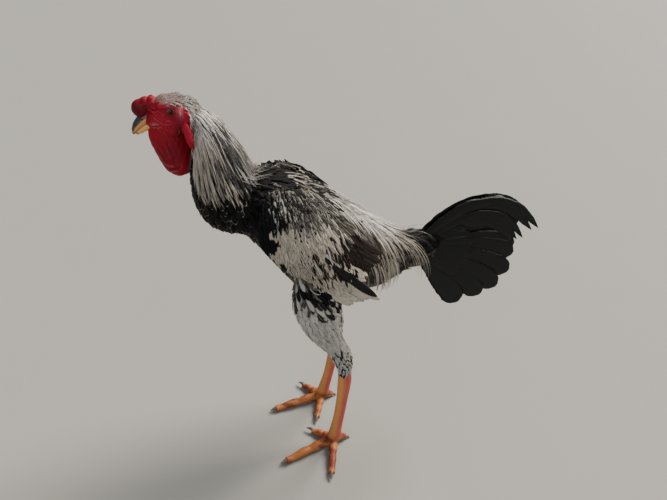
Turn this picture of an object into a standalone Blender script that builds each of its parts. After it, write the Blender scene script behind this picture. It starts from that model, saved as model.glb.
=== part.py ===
"""A life-size Malay cock, standing, as a still museum model.

Metres, +Z up. The bird faces -X and its left side is -Y. Its soles rest on z = 0.
Feathers that name the bird from a step away are blades fused to the body that they grow from:
neck hackle, saddle hackle, the tiers of each wing, and the tail. Small body feathers are left out.
"""

import math
import random
from collections import namedtuple

import bmesh
import bpy
from mathutils import Matrix, Vector

# Driving dimensions, in metres
GAP = 0.0003
EDGE = 0.0006
STANCE = 0.053
SHANK_TOP = 0.174
EYE_RADIUS = 0.0062
SEED = 11
FLAT = 0.002
FAR_LEG = 0.0135
HIP_HEIGHT = 0.5
NECK_LENGTH = 0.178
NECK_RADIUS = 0.040
HACKLE_REACH = 2.3
HACKLE_ROWS = 4
HACKLE_STEP = 0.0160
HACKLE_LENGTH = 0.056
HACKLE_SHORTEST = 0.022
HACKLE_HALF = 0.0072
HACKLE_LAP = 0.0205
SADDLE_ROWS = 3
SADDLE_FEATHERS = 6
SADDLE_FRONT = 0.055
SADDLE_STEP = 0.0115
SADDLE_HALF = 0.0052
FEATHER_SUNK = 0.0030
CLAW_LENGTH = 0.0165
HALLUX_CLAW = 0.0110
COMB_KNOBS = 14

# A ring across the body: its centre, how far its upper end leans back from upright, and half sizes
Ring = namedtuple("Ring", "x z lean high wide")
# A ring across a limb: its centre, and its half sizes fore-and-aft and sideways
Band = namedtuple("Band", "x y z fore side")

TORSO = [
    Ring(-0.1280, 0.4960, 12, 0.0200, 0.0230),
    Ring(-0.1170, 0.4945, 14, 0.0440, 0.0480),
    Ring(-0.1000, 0.4930, 17, 0.0545, 0.0610),
    Ring(-0.0670, 0.4705, 21, 0.0690, 0.0700),
    Ring(-0.0300, 0.4345, 23, 0.0825, 0.0730),
    Ring(0.0080, 0.4050, 24, 0.0835, 0.0690),
    Ring(0.0510, 0.3840, 24, 0.0715, 0.0610),
    Ring(0.0920, 0.3740, 20, 0.0560, 0.0490),
    Ring(0.1290, 0.3750, 14, 0.0370, 0.0340),
    Ring(0.1500, 0.3810, 8, 0.0200, 0.0190),
]
NECK = [
    Ring(-0.1730, 0.6270, 60, 0.0100, 0.0100),
    Ring(-0.1570, 0.6060, 59, 0.0260, 0.0235),
    Ring(-0.1510, 0.5800, 58, 0.0340, 0.0310),
    Ring(-0.1480, 0.5515, 56, 0.0440, 0.0380),
    Ring(-0.1425, 0.5250, 54, 0.0490, 0.0450),
    Ring(-0.1320, 0.5015, 50, 0.0490, 0.0500),
    Ring(-0.1150, 0.4880, 42, 0.0420, 0.0530),
    Ring(-0.0950, 0.4800, 35, 0.0340, 0.0500),
]
DEWLAP = [
    Band(-0.1975, 0, 0.6110, 0.0205, 0.0115),
    Band(-0.1975, 0, 0.5990, 0.0228, 0.0140),
    Band(-0.1950, 0, 0.5840, 0.0220, 0.0145),
    Band(-0.1915, 0, 0.5680, 0.0205, 0.0135),
    Band(-0.1885, 0, 0.5550, 0.0170, 0.0115),
    Band(-0.1865, 0, 0.5460, 0.0095, 0.0070),
]
THIGH = [
    Band(-0.0200, 0.048, 0.3850, 0.0400, 0.0300),
    Band(-0.0250, 0.053, 0.3500, 0.0430, 0.0340),
    Band(-0.0230, 0.056, 0.3200, 0.0400, 0.0320),
    Band(-0.0160, 0.057, 0.2920, 0.0345, 0.0280),
    Band(-0.0050, 0.057, 0.2640, 0.0270, 0.0230),
    Band(0.0070, 0.056, 0.2400, 0.0225, 0.0195),
    Band(0.0150, 0.055, 0.2180, 0.0215, 0.0180),
    Band(0.0200, 0.054, 0.1960, 0.0165, 0.0150),
    Band(0.0205, 0.054, SHANK_TOP, 0.0130, 0.0120),
]
SHANK = [
    Band(0.0195, 0.054, SHANK_TOP + 0.02, 0.0100, 0.0090),
    Band(0.0200, 0.054, SHANK_TOP - 0.01, 0.0122, 0.0098),
    Band(0.0165, 0.0535, 0.1200, 0.0105, 0.0088),
    Band(0.0105, 0.053, 0.0700, 0.0100, 0.0086),
    Band(0.0055, STANCE, 0.0400, 0.0108, 0.0100),
    Band(0.0020, STANCE, 0.0160, 0.0130, 0.0125),
    Band(0.0010, STANCE, 0.0000, 0.0110, 0.0110),
]

# Half width along a feather: where, then how much of the whole
ROUND_TIP = ((0, 0.40), (0.28, 0.92), (0.84, 0.96), (1, 0.30))
POINT_TIP = ((0, 0.60), (0.30, 1.00), (0.70, 0.80), (1, 0.06))
FAN_TIP = ((0, 0.16), (0.28, 0.36), (0.58, 0.84), (0.86, 1.00), (1, 0.28))

rng = random.Random(SEED)


# Meshes


def clear_scene():
    for item in list(bpy.data.objects):
        bpy.data.objects.remove(item)


def mesh_object(name, points, faces):
    """A new object whose faces all point out."""
    data = bpy.data.meshes.new(name)
    data.from_pydata([tuple(p) for p in points], [], faces)
    bm = bmesh.new()
    bm.from_mesh(data)
    bmesh.ops.recalc_face_normals(bm, faces=bm.faces)
    bm.to_mesh(data)
    bm.free()
    made = bpy.data.objects.new(name, data)
    bpy.context.scene.collection.objects.link(made)
    return made


def between(stations, t):
    """The smooth station at t, from 0 at the first to 1 at the last."""
    last = len(stations) - 1
    place = min(max(t, 0.0), 1.0) * last
    i = min(int(place), last - 1)
    f = place - i
    before = stations[max(i - 1, 0)]
    after = stations[min(i + 2, last)]
    made = []
    for p0, p1, p2, p3 in zip(before, stations[i], stations[i + 1], after):
        bend = 2 * p0 - 5 * p1 + 4 * p2 - p3
        twist = 3 * (p1 - p2) + p3 - p0
        made.append(0.5 * (2 * p1 + (p2 - p0) * f + bend * f * f + twist * f**3))
    return type(stations[0])(*made)


def skin_over(name, rings):
    """A closed body over rings of points, each end closed by a fan."""
    sides = len(rings[0])
    points = [p for ring in rings for p in ring]
    faces = []
    for i in range(len(rings) - 1):
        for j in range(sides):
            k = (j + 1) % sides
            a, b = i * sides + j, i * sides + k
            faces += [(a, b, b + sides), (a, b + sides, a + sides)]
    for ring, start in ((rings[0], 0), (rings[-1], (len(rings) - 1) * sides)):
        points.append(sum(ring, Vector()) / sides)
        centre = len(points) - 1
        faces += [(start + j, start + (j + 1) % sides, centre) for j in range(sides)]
    return mesh_object(name, points, faces)


def body_point(stations, t, angle, lift=0.0):
    """A point on the torso or neck. Angle 0 is the back line, and a quarter turn is the left side."""
    ring = between(stations, t)
    lean = math.radians(ring.lean)
    up = Vector((math.sin(lean), 0, math.cos(lean)))
    side = Vector((0, -1, 0))
    c, s = math.cos(angle), math.sin(angle)
    out = (up * c / ring.high + side * s / ring.wide).normalized()
    at = Vector((ring.x, 0, ring.z)) + up * c * ring.high + side * s * ring.wide
    return at + out * lift


def body_loft(name, stations, count, sides):
    """The torso, neck or rump over its stations."""
    turn = 2 * math.pi / sides
    rings = [
        [body_point(stations, i / (count - 1), j * turn) for j in range(sides)]
        for i in range(count)
    ]
    return skin_over(name, rings)


def limb_loft(name, stations, count, sides, hand=1, floor=None, step=None, lean=0.0):
    """A limb over its bands, square to its own line. Hand is -1 on the left."""
    placed = []
    for i in range(count):
        band = between(stations, i / (count - 1))
        set_back = lean * math.sin(math.pi * band.z / HIP_HEIGHT)
        placed.append((Vector((band.x + set_back, hand * band.y, band.z)), band))
    rings = []
    for i, (at, band) in enumerate(placed):
        along = placed[min(i + 1, count - 1)][0] - placed[max(i - 1, 0)][0]
        side = Vector((0, 1, 0))
        fore = along.cross(side).normalized()
        side = fore.cross(along).normalized()
        swell = step(i) if step else 0.0
        ring = []
        for j in range(sides):
            angle = 2 * math.pi * j / sides
            across = fore * math.cos(angle) * (band.fore + swell)
            p = at + across + side * math.sin(angle) * (band.side + swell)
            if floor is not None:
                p.z = max(p.z, floor)
            ring.append(p)
        rings.append(ring)
    return skin_over(name, rings)


def ellipsoid(name, centre, radii, pitch=0.0, detail=2):
    """An ellipsoid whose first radius runs forward, tipped down at the front by pitch degrees."""
    bm = bmesh.new()
    size = Matrix.Diagonal((*radii, 1))
    turn = Matrix.Rotation(math.radians(-pitch), 4, "Y")
    place = Matrix.Translation(Vector(centre)) @ turn @ size
    bmesh.ops.create_icosphere(bm, subdivisions=detail, radius=1, matrix=place)
    data = bpy.data.meshes.new(name)
    bm.to_mesh(data)
    bm.free()
    made = bpy.data.objects.new(name, data)
    bpy.context.scene.collection.objects.link(made)
    return made


# Joining and cutting


def settle(item):
    """Makes the shape that the modifiers give the object's own mesh."""
    bpy.context.view_layer.update()
    graph = bpy.context.evaluated_depsgraph_get()
    made = bpy.data.meshes.new_from_object(item.evaluated_get(graph))
    item.modifiers.clear()
    item.data = made


def keep_largest(item):
    """Drops every closed surface but the one with the most volume."""
    bm = bmesh.new()
    bm.from_mesh(item.data)
    bmesh.ops.dissolve_limit(bm, angle_limit=FLAT, verts=bm.verts, edges=bm.edges)
    bmesh.ops.triangulate(bm, faces=bm.faces)
    left = set(bm.faces)
    groups = []
    while left:
        group, todo = [], [left.pop()]
        while todo:
            face = todo.pop()
            group.append(face)
            for edge in face.edges:
                for other in edge.link_faces:
                    if other in left:
                        left.remove(other)
                        todo.append(other)
        groups.append(group)

    def volume(group):
        return abs(
            sum(
                f.verts[0].co.dot(f.verts[1].co.cross(f.verts[2].co)) / 6 for f in group
            )
        )

    groups.sort(key=volume)
    loose = [face for group in groups[:-1] for face in group]
    bmesh.ops.delete(bm, geom=loose, context="FACES")
    bmesh.ops.recalc_face_normals(bm, faces=bm.faces)
    bm.to_mesh(item.data)
    bm.free()


def join(base, pieces, solver="MANIFOLD"):
    """One Boolean union of the base with closed pieces, which are then removed."""
    group = bpy.data.collections.new("joined")
    bpy.context.scene.collection.children.link(group)
    for piece in pieces:
        group.objects.link(piece)
    union = base.modifiers.new("join", "BOOLEAN")
    union.operation = "UNION"
    union.operand_type = "COLLECTION"
    union.collection = group
    union.solver = solver
    settle(base)
    for piece in pieces:
        bpy.data.objects.remove(piece)
    bpy.data.collections.remove(group)
    keep_largest(base)
    return base


def grown(item, by=GAP):
    """A cutter: a copy of the item, swollen by a gap along its normals."""
    cutter = item.copy()
    cutter.data = item.data.copy()
    bpy.context.scene.collection.objects.link(cutter)
    normals = [v.normal.copy() for v in cutter.data.vertices]
    for v, normal in zip(cutter.data.vertices, normals):
        v.co += normal * by
    return cutter


def cut(item, cutters, solver="MANIFOLD"):
    """Takes the cutters out of the item, and removes them."""
    for cutter in cutters:
        away = item.modifiers.new("cut", "BOOLEAN")
        away.operation = "DIFFERENCE"
        away.object = cutter
        away.solver = solver
    settle(item)
    for cutter in cutters:
        bpy.data.objects.remove(cutter)
    keep_largest(item)
    return item


def melt(item, voxel, faces):
    """Joins crossing shapes into one smooth skin of about so many faces."""
    remesh = item.modifiers.new("melt", "REMESH")
    remesh.mode = "VOXEL"
    remesh.voxel_size = voxel
    smooth = item.modifiers.new("smooth", "SMOOTH")
    smooth.factor = 0.5
    smooth.iterations = 4
    settle(item)
    thin = item.modifiers.new("thin", "DECIMATE")
    thin.ratio = min(1.0, faces / (2 * len(item.data.polygons)))
    settle(item)
    return item


def merged(name, pieces):
    """The pieces as one mesh, still crossing."""
    bm = bmesh.new()
    for piece in pieces:
        bm.from_mesh(piece.data)
        bpy.data.objects.remove(piece)
    data = bpy.data.meshes.new(name)
    bm.to_mesh(data)
    bm.free()
    made = bpy.data.objects.new(name, data)
    bpy.context.scene.collection.objects.link(made)
    return made


# Blades


def blade(name, chart, line, widths, roll=0.0):
    """A closed flat feather. Line holds (u, v, height) points on the chart, and widths are half widths.

    The chart turns (u, v, height) into space, so feathers at their own heights on one chart stay clear.
    """
    rings = []
    for i, (u, v, height) in enumerate(line):
        before, after = line[max(i - 1, 0)], line[min(i + 1, len(line) - 1)]
        du, dv = after[0] - before[0], after[1] - before[1]
        size = math.hypot(du, dv) or 1.0
        au, av = -dv / size, du / size
        ring = []
        for edge, depth in ((-1, 0.0), (1, 0.0), (1, EDGE), (-1, EDGE)):
            across = edge * widths[i]
            rise = height + roll * across - depth
            ring.append(chart(u + au * across, v + av * across, rise))
        rings.append(ring)
    return strip_body(name, rings)


def vane(chart, start, end, half, shape, sunk, stand, lift, roll=0.0, bend=0.0):
    """A feather on a chart from its sunk root to its tip.

    It climbs from its root to stand clear of the body, then rises by lift for each metre of its length.
    """
    du, dv = end[0] - start[0], end[1] - start[1]
    length = math.hypot(du, dv)
    line, widths = [], []
    for t, w in shape:
        side = bend * math.sin(math.pi * t) * length
        u = start[0] + du * t - dv / length * side
        v = start[1] + dv * t + du / length * side
        free = max(0.0, t - shape[1][0]) * length
        height = -sunk if t == 0 else stand + lift * free
        line.append((u, v, height))
        widths.append(half * w)
    return blade("vane", chart, line, widths, roll=roll)


def strip_body(name, rings):
    """A blade's closed mesh, its two faces split into triangles alike."""
    n = len(rings[0])
    half = n // 2
    points = [p for ring in rings for p in ring]
    faces = []
    for i in range(len(rings) - 1):
        for j in range(n):
            k = (j + 1) % n
            a, b = i * n + j, i * n + k
            c, d = a + n, b + n
            if j < half:
                faces += [(a, b, d), (a, d, c)]
            else:
                faces += [(a, b, c), (b, d, c)]
    for start in (0, (len(rings) - 1) * n):
        for j in range(half - 1):
            a, b = start + j, start + j + 1
            c, d = start + n - 1 - j, start + n - 2 - j
            faces += [(a, b, d), (a, d, c)]
    return mesh_object(name, points, faces)


def dress(item, colour, roughness=0.6):
    material = bpy.data.materials.new(item.name)
    material.use_nodes = True
    shader = material.node_tree.nodes["Principled BSDF"]
    shader.inputs["Base Color"].default_value = (*colour, 1)
    shader.inputs["Roughness"].default_value = roughness
    item.data.materials.clear()
    item.data.materials.append(material)
    item.data.shade_smooth()
    item.data.set_sharp_from_angle(angle=math.radians(50))


# Trunk


def saddle_chart(u, v, height):
    """The trunk's surface: v is how far back, and u runs down round it from the back line."""
    last = len(TORSO) - 1
    i = next(k for k in range(last) if TORSO[k + 1].x >= v or k == last - 1)
    t = (i + (v - TORSO[i].x) / (TORSO[i + 1].x - TORSO[i].x)) / last
    ring = between(TORSO, t)
    radius = 0.5 * (ring.high + ring.wide)
    hang = 0.5 * radius * min(max(0.0, abs(u) / radius - 1.1), 0.55) ** 2
    return body_point(TORSO, t, u / radius, height + hang)


def saddle_hackles():
    """Long pointed feathers from the back that hang down behind the wings."""
    made = []
    for side in (1, -1):
        for row in range(SADDLE_ROWS):
            for i in range(SADDLE_FEATHERS):
                back = SADDLE_FRONT + SADDLE_STEP * (i + 0.5 * (row % 2))
                size = 1.0 - 6.0 * max(0.0, back - 0.080)
                top = (0.062 - 0.026 * row) * size
                end = top + (0.062 - 0.006 * row) * size + rng.uniform(-0.003, 0.003)
                start, tip = (side * top, back), (side * end, back + 0.010)
                made.append(
                    vane(
                        saddle_chart, start, tip, SADDLE_HALF, POINT_TIP,
                        sunk=FEATHER_SUNK, stand=0.0012, lift=0.065,
                    )
                )
    return made


def build_torso():
    """The trunk, from inside the neck to inside the root of the tail."""
    return body_loft("torso", TORSO, 12, 20)


def hackle_chart(u, v, height):
    """The neck's surface, u down its length and v round it from the nape, lifted over the shoulders."""
    angle = v / NECK_RADIUS
    near = min(max((u - 0.090) / 0.040, 0.0), 1.0)
    over = 0.009 * near * near * (3 - 2 * near) * max(0.0, math.cos(angle)) ** 2
    return body_point(NECK, u / NECK_LENGTH, angle, height + over)


def hackle_end(angle):
    """How far down the neck the lowest feathers reach, least at the throat."""
    turn = abs(angle)
    return 0.118 - 0.006 * max(0.0, turn - 0.9) - 0.022 * max(0.0, turn - 1.3)


def hackles():
    """Rows of pointed feathers down the neck, each row over the one below."""
    made = []
    for row in range(HACKLE_ROWS):
        for i in range(-6, 7):
            v = (i + 0.5 * (row % 2)) * HACKLE_STEP
            angle = v / NECK_RADIUS
            end = hackle_end(angle) - HACKLE_LAP * row + rng.uniform(-0.002, 0.002)
            start = max(end - HACKLE_LENGTH, 0.026 + 0.012 * max(0.0, abs(angle) - 0.9))
            if abs(angle) > HACKLE_REACH or end - start < HACKLE_SHORTEST:
                continue
            lean = 0.10 * v * (end - start) / HACKLE_LENGTH
            feather = vane(
                hackle_chart, (start, v), (end, v - lean), HACKLE_HALF, POINT_TIP,
                sunk=FEATHER_SUNK, stand=0.0014, lift=0.11,
            )
            made.append(feather)
    return made


def build_neck(torso):
    return cut(body_loft("neck", NECK, 11, 20), [grown(torso)])


def build_thigh(side, hand, torso):
    thigh = limb_loft("thigh_" + side, THIGH, 10, 14, hand=hand, lean=FAR_LEG * (hand > 0))
    return cut(thigh, [grown(torso)])


# Head

# A rounded lump of flesh: its centre, half sizes, and how far its front tips down
Lump = namedtuple("Lump", "name x y z radii pitch")

HEAD_LUMPS = [
    Lump("skull", -0.1850, 0, 0.6265, (0.0325, 0.0220, 0.0180), 20),
    Lump("back", -0.1710, 0, 0.6185, (0.0180, 0.0200, 0.0210), 50),
    Lump("face", -0.2030, 0, 0.6215, (0.0185, 0.0150, 0.0160), 34),
    Lump("jaw", -0.2010, 0, 0.6105, (0.0190, 0.0125, 0.0120), 30),
]
PAIRED_LUMPS = [
    Lump("brow", -0.1895, 0.0150, 0.6390, (0.0140, 0.0065, 0.0048), 12),
    Lump("cheek", -0.1870, 0.0120, 0.6150, (0.0210, 0.0100, 0.0150), 20),
]
EYE = Lump("eye", -0.1877, 0.0145, 0.6317, (EYE_RADIUS,) * 3, 0)
EAR = Lump("ear", -0.1700, 0.0205, 0.6235, (0.0050, 0.0030, 0.0065), 10)
NOSTRIL = Lump("nostril", -0.2240, 0.0080, 0.6215, (0.0024, 0.0022, 0.0009), 34)
COMB_LUMPS = [
    Lump("ridge", -0.2110, 0, 0.6400, (0.0160, 0.0090, 0.0085), 32),
    Lump("front", -0.2235, 0, 0.6345, (0.0110, 0.0092, 0.0092), 60),
]
KNOB = (0.0042, 0.0036, 0.0036)
LID_PLACE = 0.0200


def lump_body(lump, hand=1, detail=2):
    """The lump's ellipsoid. Hand is -1 on the left."""
    centre = (lump.x, hand * lump.y, lump.z)
    return ellipsoid(lump.name, centre, lump.radii, lump.pitch, detail=detail)


def build_head(eyes, neck):
    """Skull, brows, face and cheeks as one skin, with lids round each eye, an ear and a nostril."""
    lumps = [lump_body(lump) for lump in HEAD_LUMPS]
    for hand in (-1, 1):
        lumps += [lump_body(lump, hand) for lump in PAIRED_LUMPS]
    head = melt(merged("head", lumps), 0.0012, 700)
    for hand in (-1, 1):
        spot = (EYE.x, hand * LID_PLACE, EYE.z)
        join(head, [lid_ring(spot, hand), lump_body(EAR, hand, detail=1)])
    return cut(head, [grown(item) for item in eyes + [neck]])


def lid_ring(spot, hand):
    """Two eyelids, met at the corners: a ring that is an oval, flattened against the eye."""
    rings = []
    for i in range(12):
        turn = 2 * math.pi * i / 12
        at = Vector((math.cos(turn) * 0.0064, 0, math.sin(turn) * 0.0056))
        out = at.normalized()
        ring = []
        for j in range(5):
            roll = 2 * math.pi * j / 5
            bulge = out * math.cos(roll) * 0.0014 + Vector((0, hand, 0)) * math.sin(roll) * 0.0022
            ring.append(Vector(spot) + at + bulge)
        rings.append(ring)
    return hoop("lid", rings)


def hoop(name, rings):
    """A closed ring-shaped body."""
    sides = len(rings[0])
    points = [p for ring in rings for p in ring]
    total = len(points)
    faces = []
    for i in range(len(rings)):
        for j in range(sides):
            k = (j + 1) % sides
            a, b = i * sides + j, i * sides + k
            c, d = (a + sides) % total, (b + sides) % total
            faces += [(a, b, d), (a, d, c)]
    return mesh_object(name, points, faces)


def build_eye(side, hand):
    return lump_body(EYE._replace(name="eye_" + side), hand)


def build_comb(head, beak):
    """A low cushion of lumps over the brow, as in the breed."""
    lumps = [lump_body(lump) for lump in COMB_LUMPS]
    for i in range(COMB_KNOBS):
        t = i / (COMB_KNOBS - 1)
        at = (-0.2000 - 0.0260 * t, rng.uniform(-0.006, 0.006), 0.6450 - 0.0100 * t * t)
        lumps.append(ellipsoid("knob", at, KNOB, 30))
    comb = melt(merged("comb", lumps), 0.0008, 400)
    return cut(comb, [grown(head), grown(beak)])


UPPER_BEAK = [
    Band(-0.2130, 0, 0.6260, 0.0065, 0.0090),
    Band(-0.2220, 0, 0.6200, 0.0068, 0.0078),
    Band(-0.2295, 0, 0.6140, 0.0056, 0.0058),
    Band(-0.2345, 0, 0.6078, 0.0035, 0.0036),
    Band(-0.2366, 0, 0.6026, 0.0012, 0.0012),
]
LOWER_BEAK = [
    Band(-0.2110, 0, 0.6150, 0.0050, 0.0080),
    Band(-0.2210, 0, 0.6085, 0.0042, 0.0062),
    Band(-0.2290, 0, 0.6035, 0.0032, 0.0044),
    Band(-0.2340, 0, 0.6000, 0.0012, 0.0018),
]


def build_beak(head):
    """The hooked upper mandible with its nostrils, and the lower one under it."""
    upper = cut(limb_loft("beak_upper", UPPER_BEAK, 7, 10), [grown(head)])
    cut(upper, [lump_body(NOSTRIL, hand) for hand in (-1, 1)])
    lower = limb_loft("beak_lower", LOWER_BEAK, 6, 10)
    return upper, cut(lower, [grown(head), grown(upper)])


def build_dewlap(inner):
    """The bare throat, hung in folds below the jaw."""
    def fold(i):
        return 0.0008 if i % 2 else -0.0004

    dewlap = limb_loft("dewlap", DEWLAP, 11, 14, step=fold)
    return cut(dewlap, [grown(item) for item in inner])


LOBE = [
    Band(-0.1735, 0.0210, 0.6190, 0.0026, 0.0026),
    Band(-0.1730, 0.0232, 0.6130, 0.0042, 0.0034),
    Band(-0.1722, 0.0242, 0.6040, 0.0044, 0.0036),
    Band(-0.1712, 0.0244, 0.5950, 0.0040, 0.0034),
    Band(-0.1702, 0.0240, 0.5875, 0.0020, 0.0018),
]


def build_lobe(side, hand, inner):
    lobe = limb_loft("earlobe_" + side, LOBE, 7, 8, hand=hand)
    return cut(lobe, [grown(item) for item in inner])


# Wings

# The wing's own chart: u runs from the shoulder to the tip, v from the back edge down to the breast
WING_START = Vector((-0.0890, 0, 0.5190))
WING_LINE = Vector((0.682, 0, -0.731))
WING_DOWN = Vector((-0.731, 0, -0.682))
WING_PAD = [
    (-0.0060, 0.0000), (0.0000, 0.0170), (0.0210, 0.0340), (0.0470, 0.0450),
    (0.0740, 0.0500), (0.1040, 0.0480), (0.1300, 0.0420), (0.1500, 0.0290),
    (0.1600, 0.0080), (0.1580, -0.0180), (0.1450, -0.0390), (0.1250, -0.0520),
    (0.1000, -0.0570), (0.0650, -0.0510), (0.0320, -0.0390), (0.0040, -0.0240),
]

# A row of wing feathers: how many, where the first and the last have root and tip, and half width
Tier = namedtuple("Tier", "count first last half sunk stand roll")
WING_TIERS = [
    Tier(5, (0.132, 0.036, 0.204, 0.030), (0.138, 0.004, 0.226, -0.004), 0.0066, 0.0080, -0.0022, 0.12),
    Tier(7, (0.112, 0.034, 0.200, 0.024), (0.110, -0.040, 0.190, -0.049), 0.0094, 0.0045, 0.0020, 0.085),
    Tier(7, (0.084, 0.042, 0.144, 0.038), (0.078, -0.043, 0.139, -0.051), 0.0094, 0.0045, 0.0020, 0.085),
    Tier(6, (0.052, 0.038, 0.106, 0.040), (0.047, -0.038, 0.102, -0.047), 0.0094, 0.0045, 0.0020, 0.085),
    Tier(5, (0.024, 0.026, 0.072, 0.034), (0.018, -0.028, 0.062, -0.040), 0.0094, 0.0045, 0.0020, 0.085),
    Tier(2, (0.002, 0.004, 0.040, 0.012), (0.002, -0.014, 0.034, -0.022), 0.0094, 0.0045, 0.0020, 0.085),
]


def wing_surface(u, v):
    spread = 5.3 - 1.3 * min(max((u - 0.04) / 0.16, 0.0), 1.0)
    y = 0.0820 - spread * (v - 0.025) ** 2 - 9.0 * max(0.0, 0.04 - u) ** 2
    at = WING_START + WING_LINE * u + WING_DOWN * v
    return Vector((at.x, -y, at.z))


def wing_chart(u, v, height):
    step = 0.002
    here = wing_surface(u, v)
    along = wing_surface(u + step, v) - here
    down = wing_surface(u, v + step) - here
    return here + along.cross(down).normalized() * -height


def wing_core(name, edge, centre=(0.095, -0.003)):
    """A pad on the side of the trunk, thick at its middle and thin at the wing's edge."""
    reach = [0.0, 0.35, 0.62, 0.82, 0.94, 1.0]
    rings = []
    for face in (1, -1):
        steps = reach[1:] if face == 1 else reversed(reach[1:-1])
        for r in steps:
            ring = []
            for u, v in edge:
                a = centre[0] + (u - centre[0]) * r
                b = centre[1] + (v - centre[1]) * r
                rim = 0.0160 - 0.0085 * min(max(a / 0.17, 0.0), 1.0)
                outer = -0.006 * r**6
                depth = rim + (0.034 - 0.02 * min(a / 0.2, 1)) * (1 - r**3)
                ring.append(wing_chart(a, b, outer if face == 1 else outer - depth))
            rings.append(ring)
    return skin_over(name, rings)


def mirror(item):
    """Turns a body of the bird's left into the same one on its right."""
    item.data.transform(Matrix.Diagonal((1, -1, 1, 1)))
    item.data.flip_normals()


def wing_feathers():
    """Tiers like roof tiles: flight feathers lowest, and each row of coverts over the next."""
    made = []
    for tier in WING_TIERS:
        for i in range(tier.count):
            f = i / (tier.count - 1)
            u0, v0, u1, v1 = (a + (b - a) * f for a, b in zip(tier.first, tier.last))
            u1 += 0.010 * math.sin(math.pi * f) + rng.uniform(-0.002, 0.002)
            made.append(
                vane(
                    wing_chart, (u0, v0), (u1, v1), tier.half, ROUND_TIP,
                    tier.sunk, tier.stand, 0.085, roll=tier.roll,
                )
            )
    return made


def build_wing(side, hand, inner):
    wing = join(wing_core("wing_" + side, WING_PAD), wing_feathers())
    if hand > 0:
        mirror(wing)
    return cut(wing, [grown(item) for item in inner])


# Tail

TAIL_ROOT = Vector((0.1350, 0, 0.3800))
RUMP = [
    Ring(0.1080, 0.3770, 10, 0.0330, 0.0310),
    Ring(0.1300, 0.3775, 8, 0.0350, 0.0290),
    Ring(0.1520, 0.3785, 5, 0.0340, 0.0235),
    Ring(0.1740, 0.3800, 2, 0.0290, 0.0155),
    Ring(0.1930, 0.3810, 0, 0.0210, 0.0080),
    Ring(0.2020, 0.3815, 0, 0.0080, 0.0030),
]
# Tail feathers of one side: angle above level and length
RECTRICES = [(26, 0.178), (16.5, 0.192), (7, 0.194), (-3, 0.193), (-15, 0.188), (-28, 0.173), (-41, 0.149)]
TAIL_COVERTS = [(28, 0.098), (14, 0.108), (0, 0.112), (-14, 0.106), (-28, 0.094)]
SICKLE = [(0.020, 0.012), (0.045, 0.036), (0.093, 0.064), (0.145, 0.068), (0.190, 0.052), (0.2240, 0.019)]
LESSER_SICKLE = [(0.020, 0.006), (0.050, 0.026), (0.098, 0.046), (0.142, 0.046), (0.175, 0.030), (0.198, 0.004)]


def tail_chart(u, v, height):
    """The left face of the tail, which spreads toward its lower edge like one side of a roof."""
    drop = max(0.0, 0.51 * max(u, 0.0) - v)
    out = 0.0040 + 0.150 * drop + height
    return TAIL_ROOT + Vector((u, -out, v))


def fan(feathers, half, start, sunk, stand):
    """Feathers of one side of the tail, spread from its root."""
    made = []
    for angle, length in feathers:
        turn = math.radians(angle)
        c, s = math.cos(turn), math.sin(turn)
        made.append(
            vane(
                tail_chart, (c * start, s * start), (c * length, s * length), half, FAN_TIP,
                sunk, stand, 0.0, roll=-0.085, bend=0.02,
            )
        )
    return made


def sickle(line, half, height):
    """A long feather that arches over the fan and hangs behind it."""
    widths = [half * w for w in (0.35, 0.65, 1.0, 1.0, 0.72, 0.08)]
    rise = [-0.001, height * 0.6] + [height] * 4
    return blade("vane", tail_chart, [(*p, h) for p, h in zip(line, rise)], widths, roll=-0.06)


def build_tail(torso):
    """The tail's root, with a fan, coverts and sickles on each side."""
    tail = body_loft("tail", RUMP, 9, 16)
    pieces = []
    for hand in (-1, 1):
        side = fan(RECTRICES, 0.0190, 0.022, 0.0, 0.0) + fan(TAIL_COVERTS, 0.0130, 0.020, 0.002, 0.0037)
        side += [sickle(SICKLE, 0.0130, 0.0078), sickle(LESSER_SICKLE, 0.0110, 0.0115)]
        if hand > 0:
            for item in side:
                mirror(item)
        pieces += side
    join(tail, pieces)
    return cut(tail, [grown(torso)])


# Feet

# A digit: its end joint, the tip of its claw, and how high the tip is held
Digit = namedtuple("Digit", "name tip thick lift bow")

LEFT_DIGITS = [
    Digit("middle", Vector((-0.1065, -0.0800, 0.0024)), 0.0092, 0.0, 0.0040),
    Digit("outer", Vector((-0.0235, -0.1325, 0.0024)), 0.0084, 0.0, 0.0040),
    Digit("inner", Vector((-0.0450, -0.0160, 0.0060)), 0.0080, 0.003, -0.0010),
    Digit("hallux", Vector((0.0330, -0.0530, -0.0002)), 0.0072, -0.002, 0.0),
]
RIGHT_DIGITS = [
    Digit("middle", Vector((-0.1080, 0.0420, 0.0024)), 0.0092, 0.0, 0.0010),
    Digit("outer", Vector((-0.0390, 0.1010, 0.0060)), 0.0082, 0.003, 0.0010),
    Digit("inner", Vector((-0.0245, -0.0095, 0.0024)), 0.0084, 0.0, 0.0020),
    Digit("hallux", Vector((0.0330, 0.0530, -0.0002)), 0.0072, -0.002, 0.0),
]


def build_shank(side, hand, thigh):
    lean = FAR_LEG * (hand > 0)
    shank = limb_loft("shank_" + side, SHANK, 11, 12, hand=hand, floor=0.0, lean=lean)
    return cut(shank, [grown(thigh)])


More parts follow.
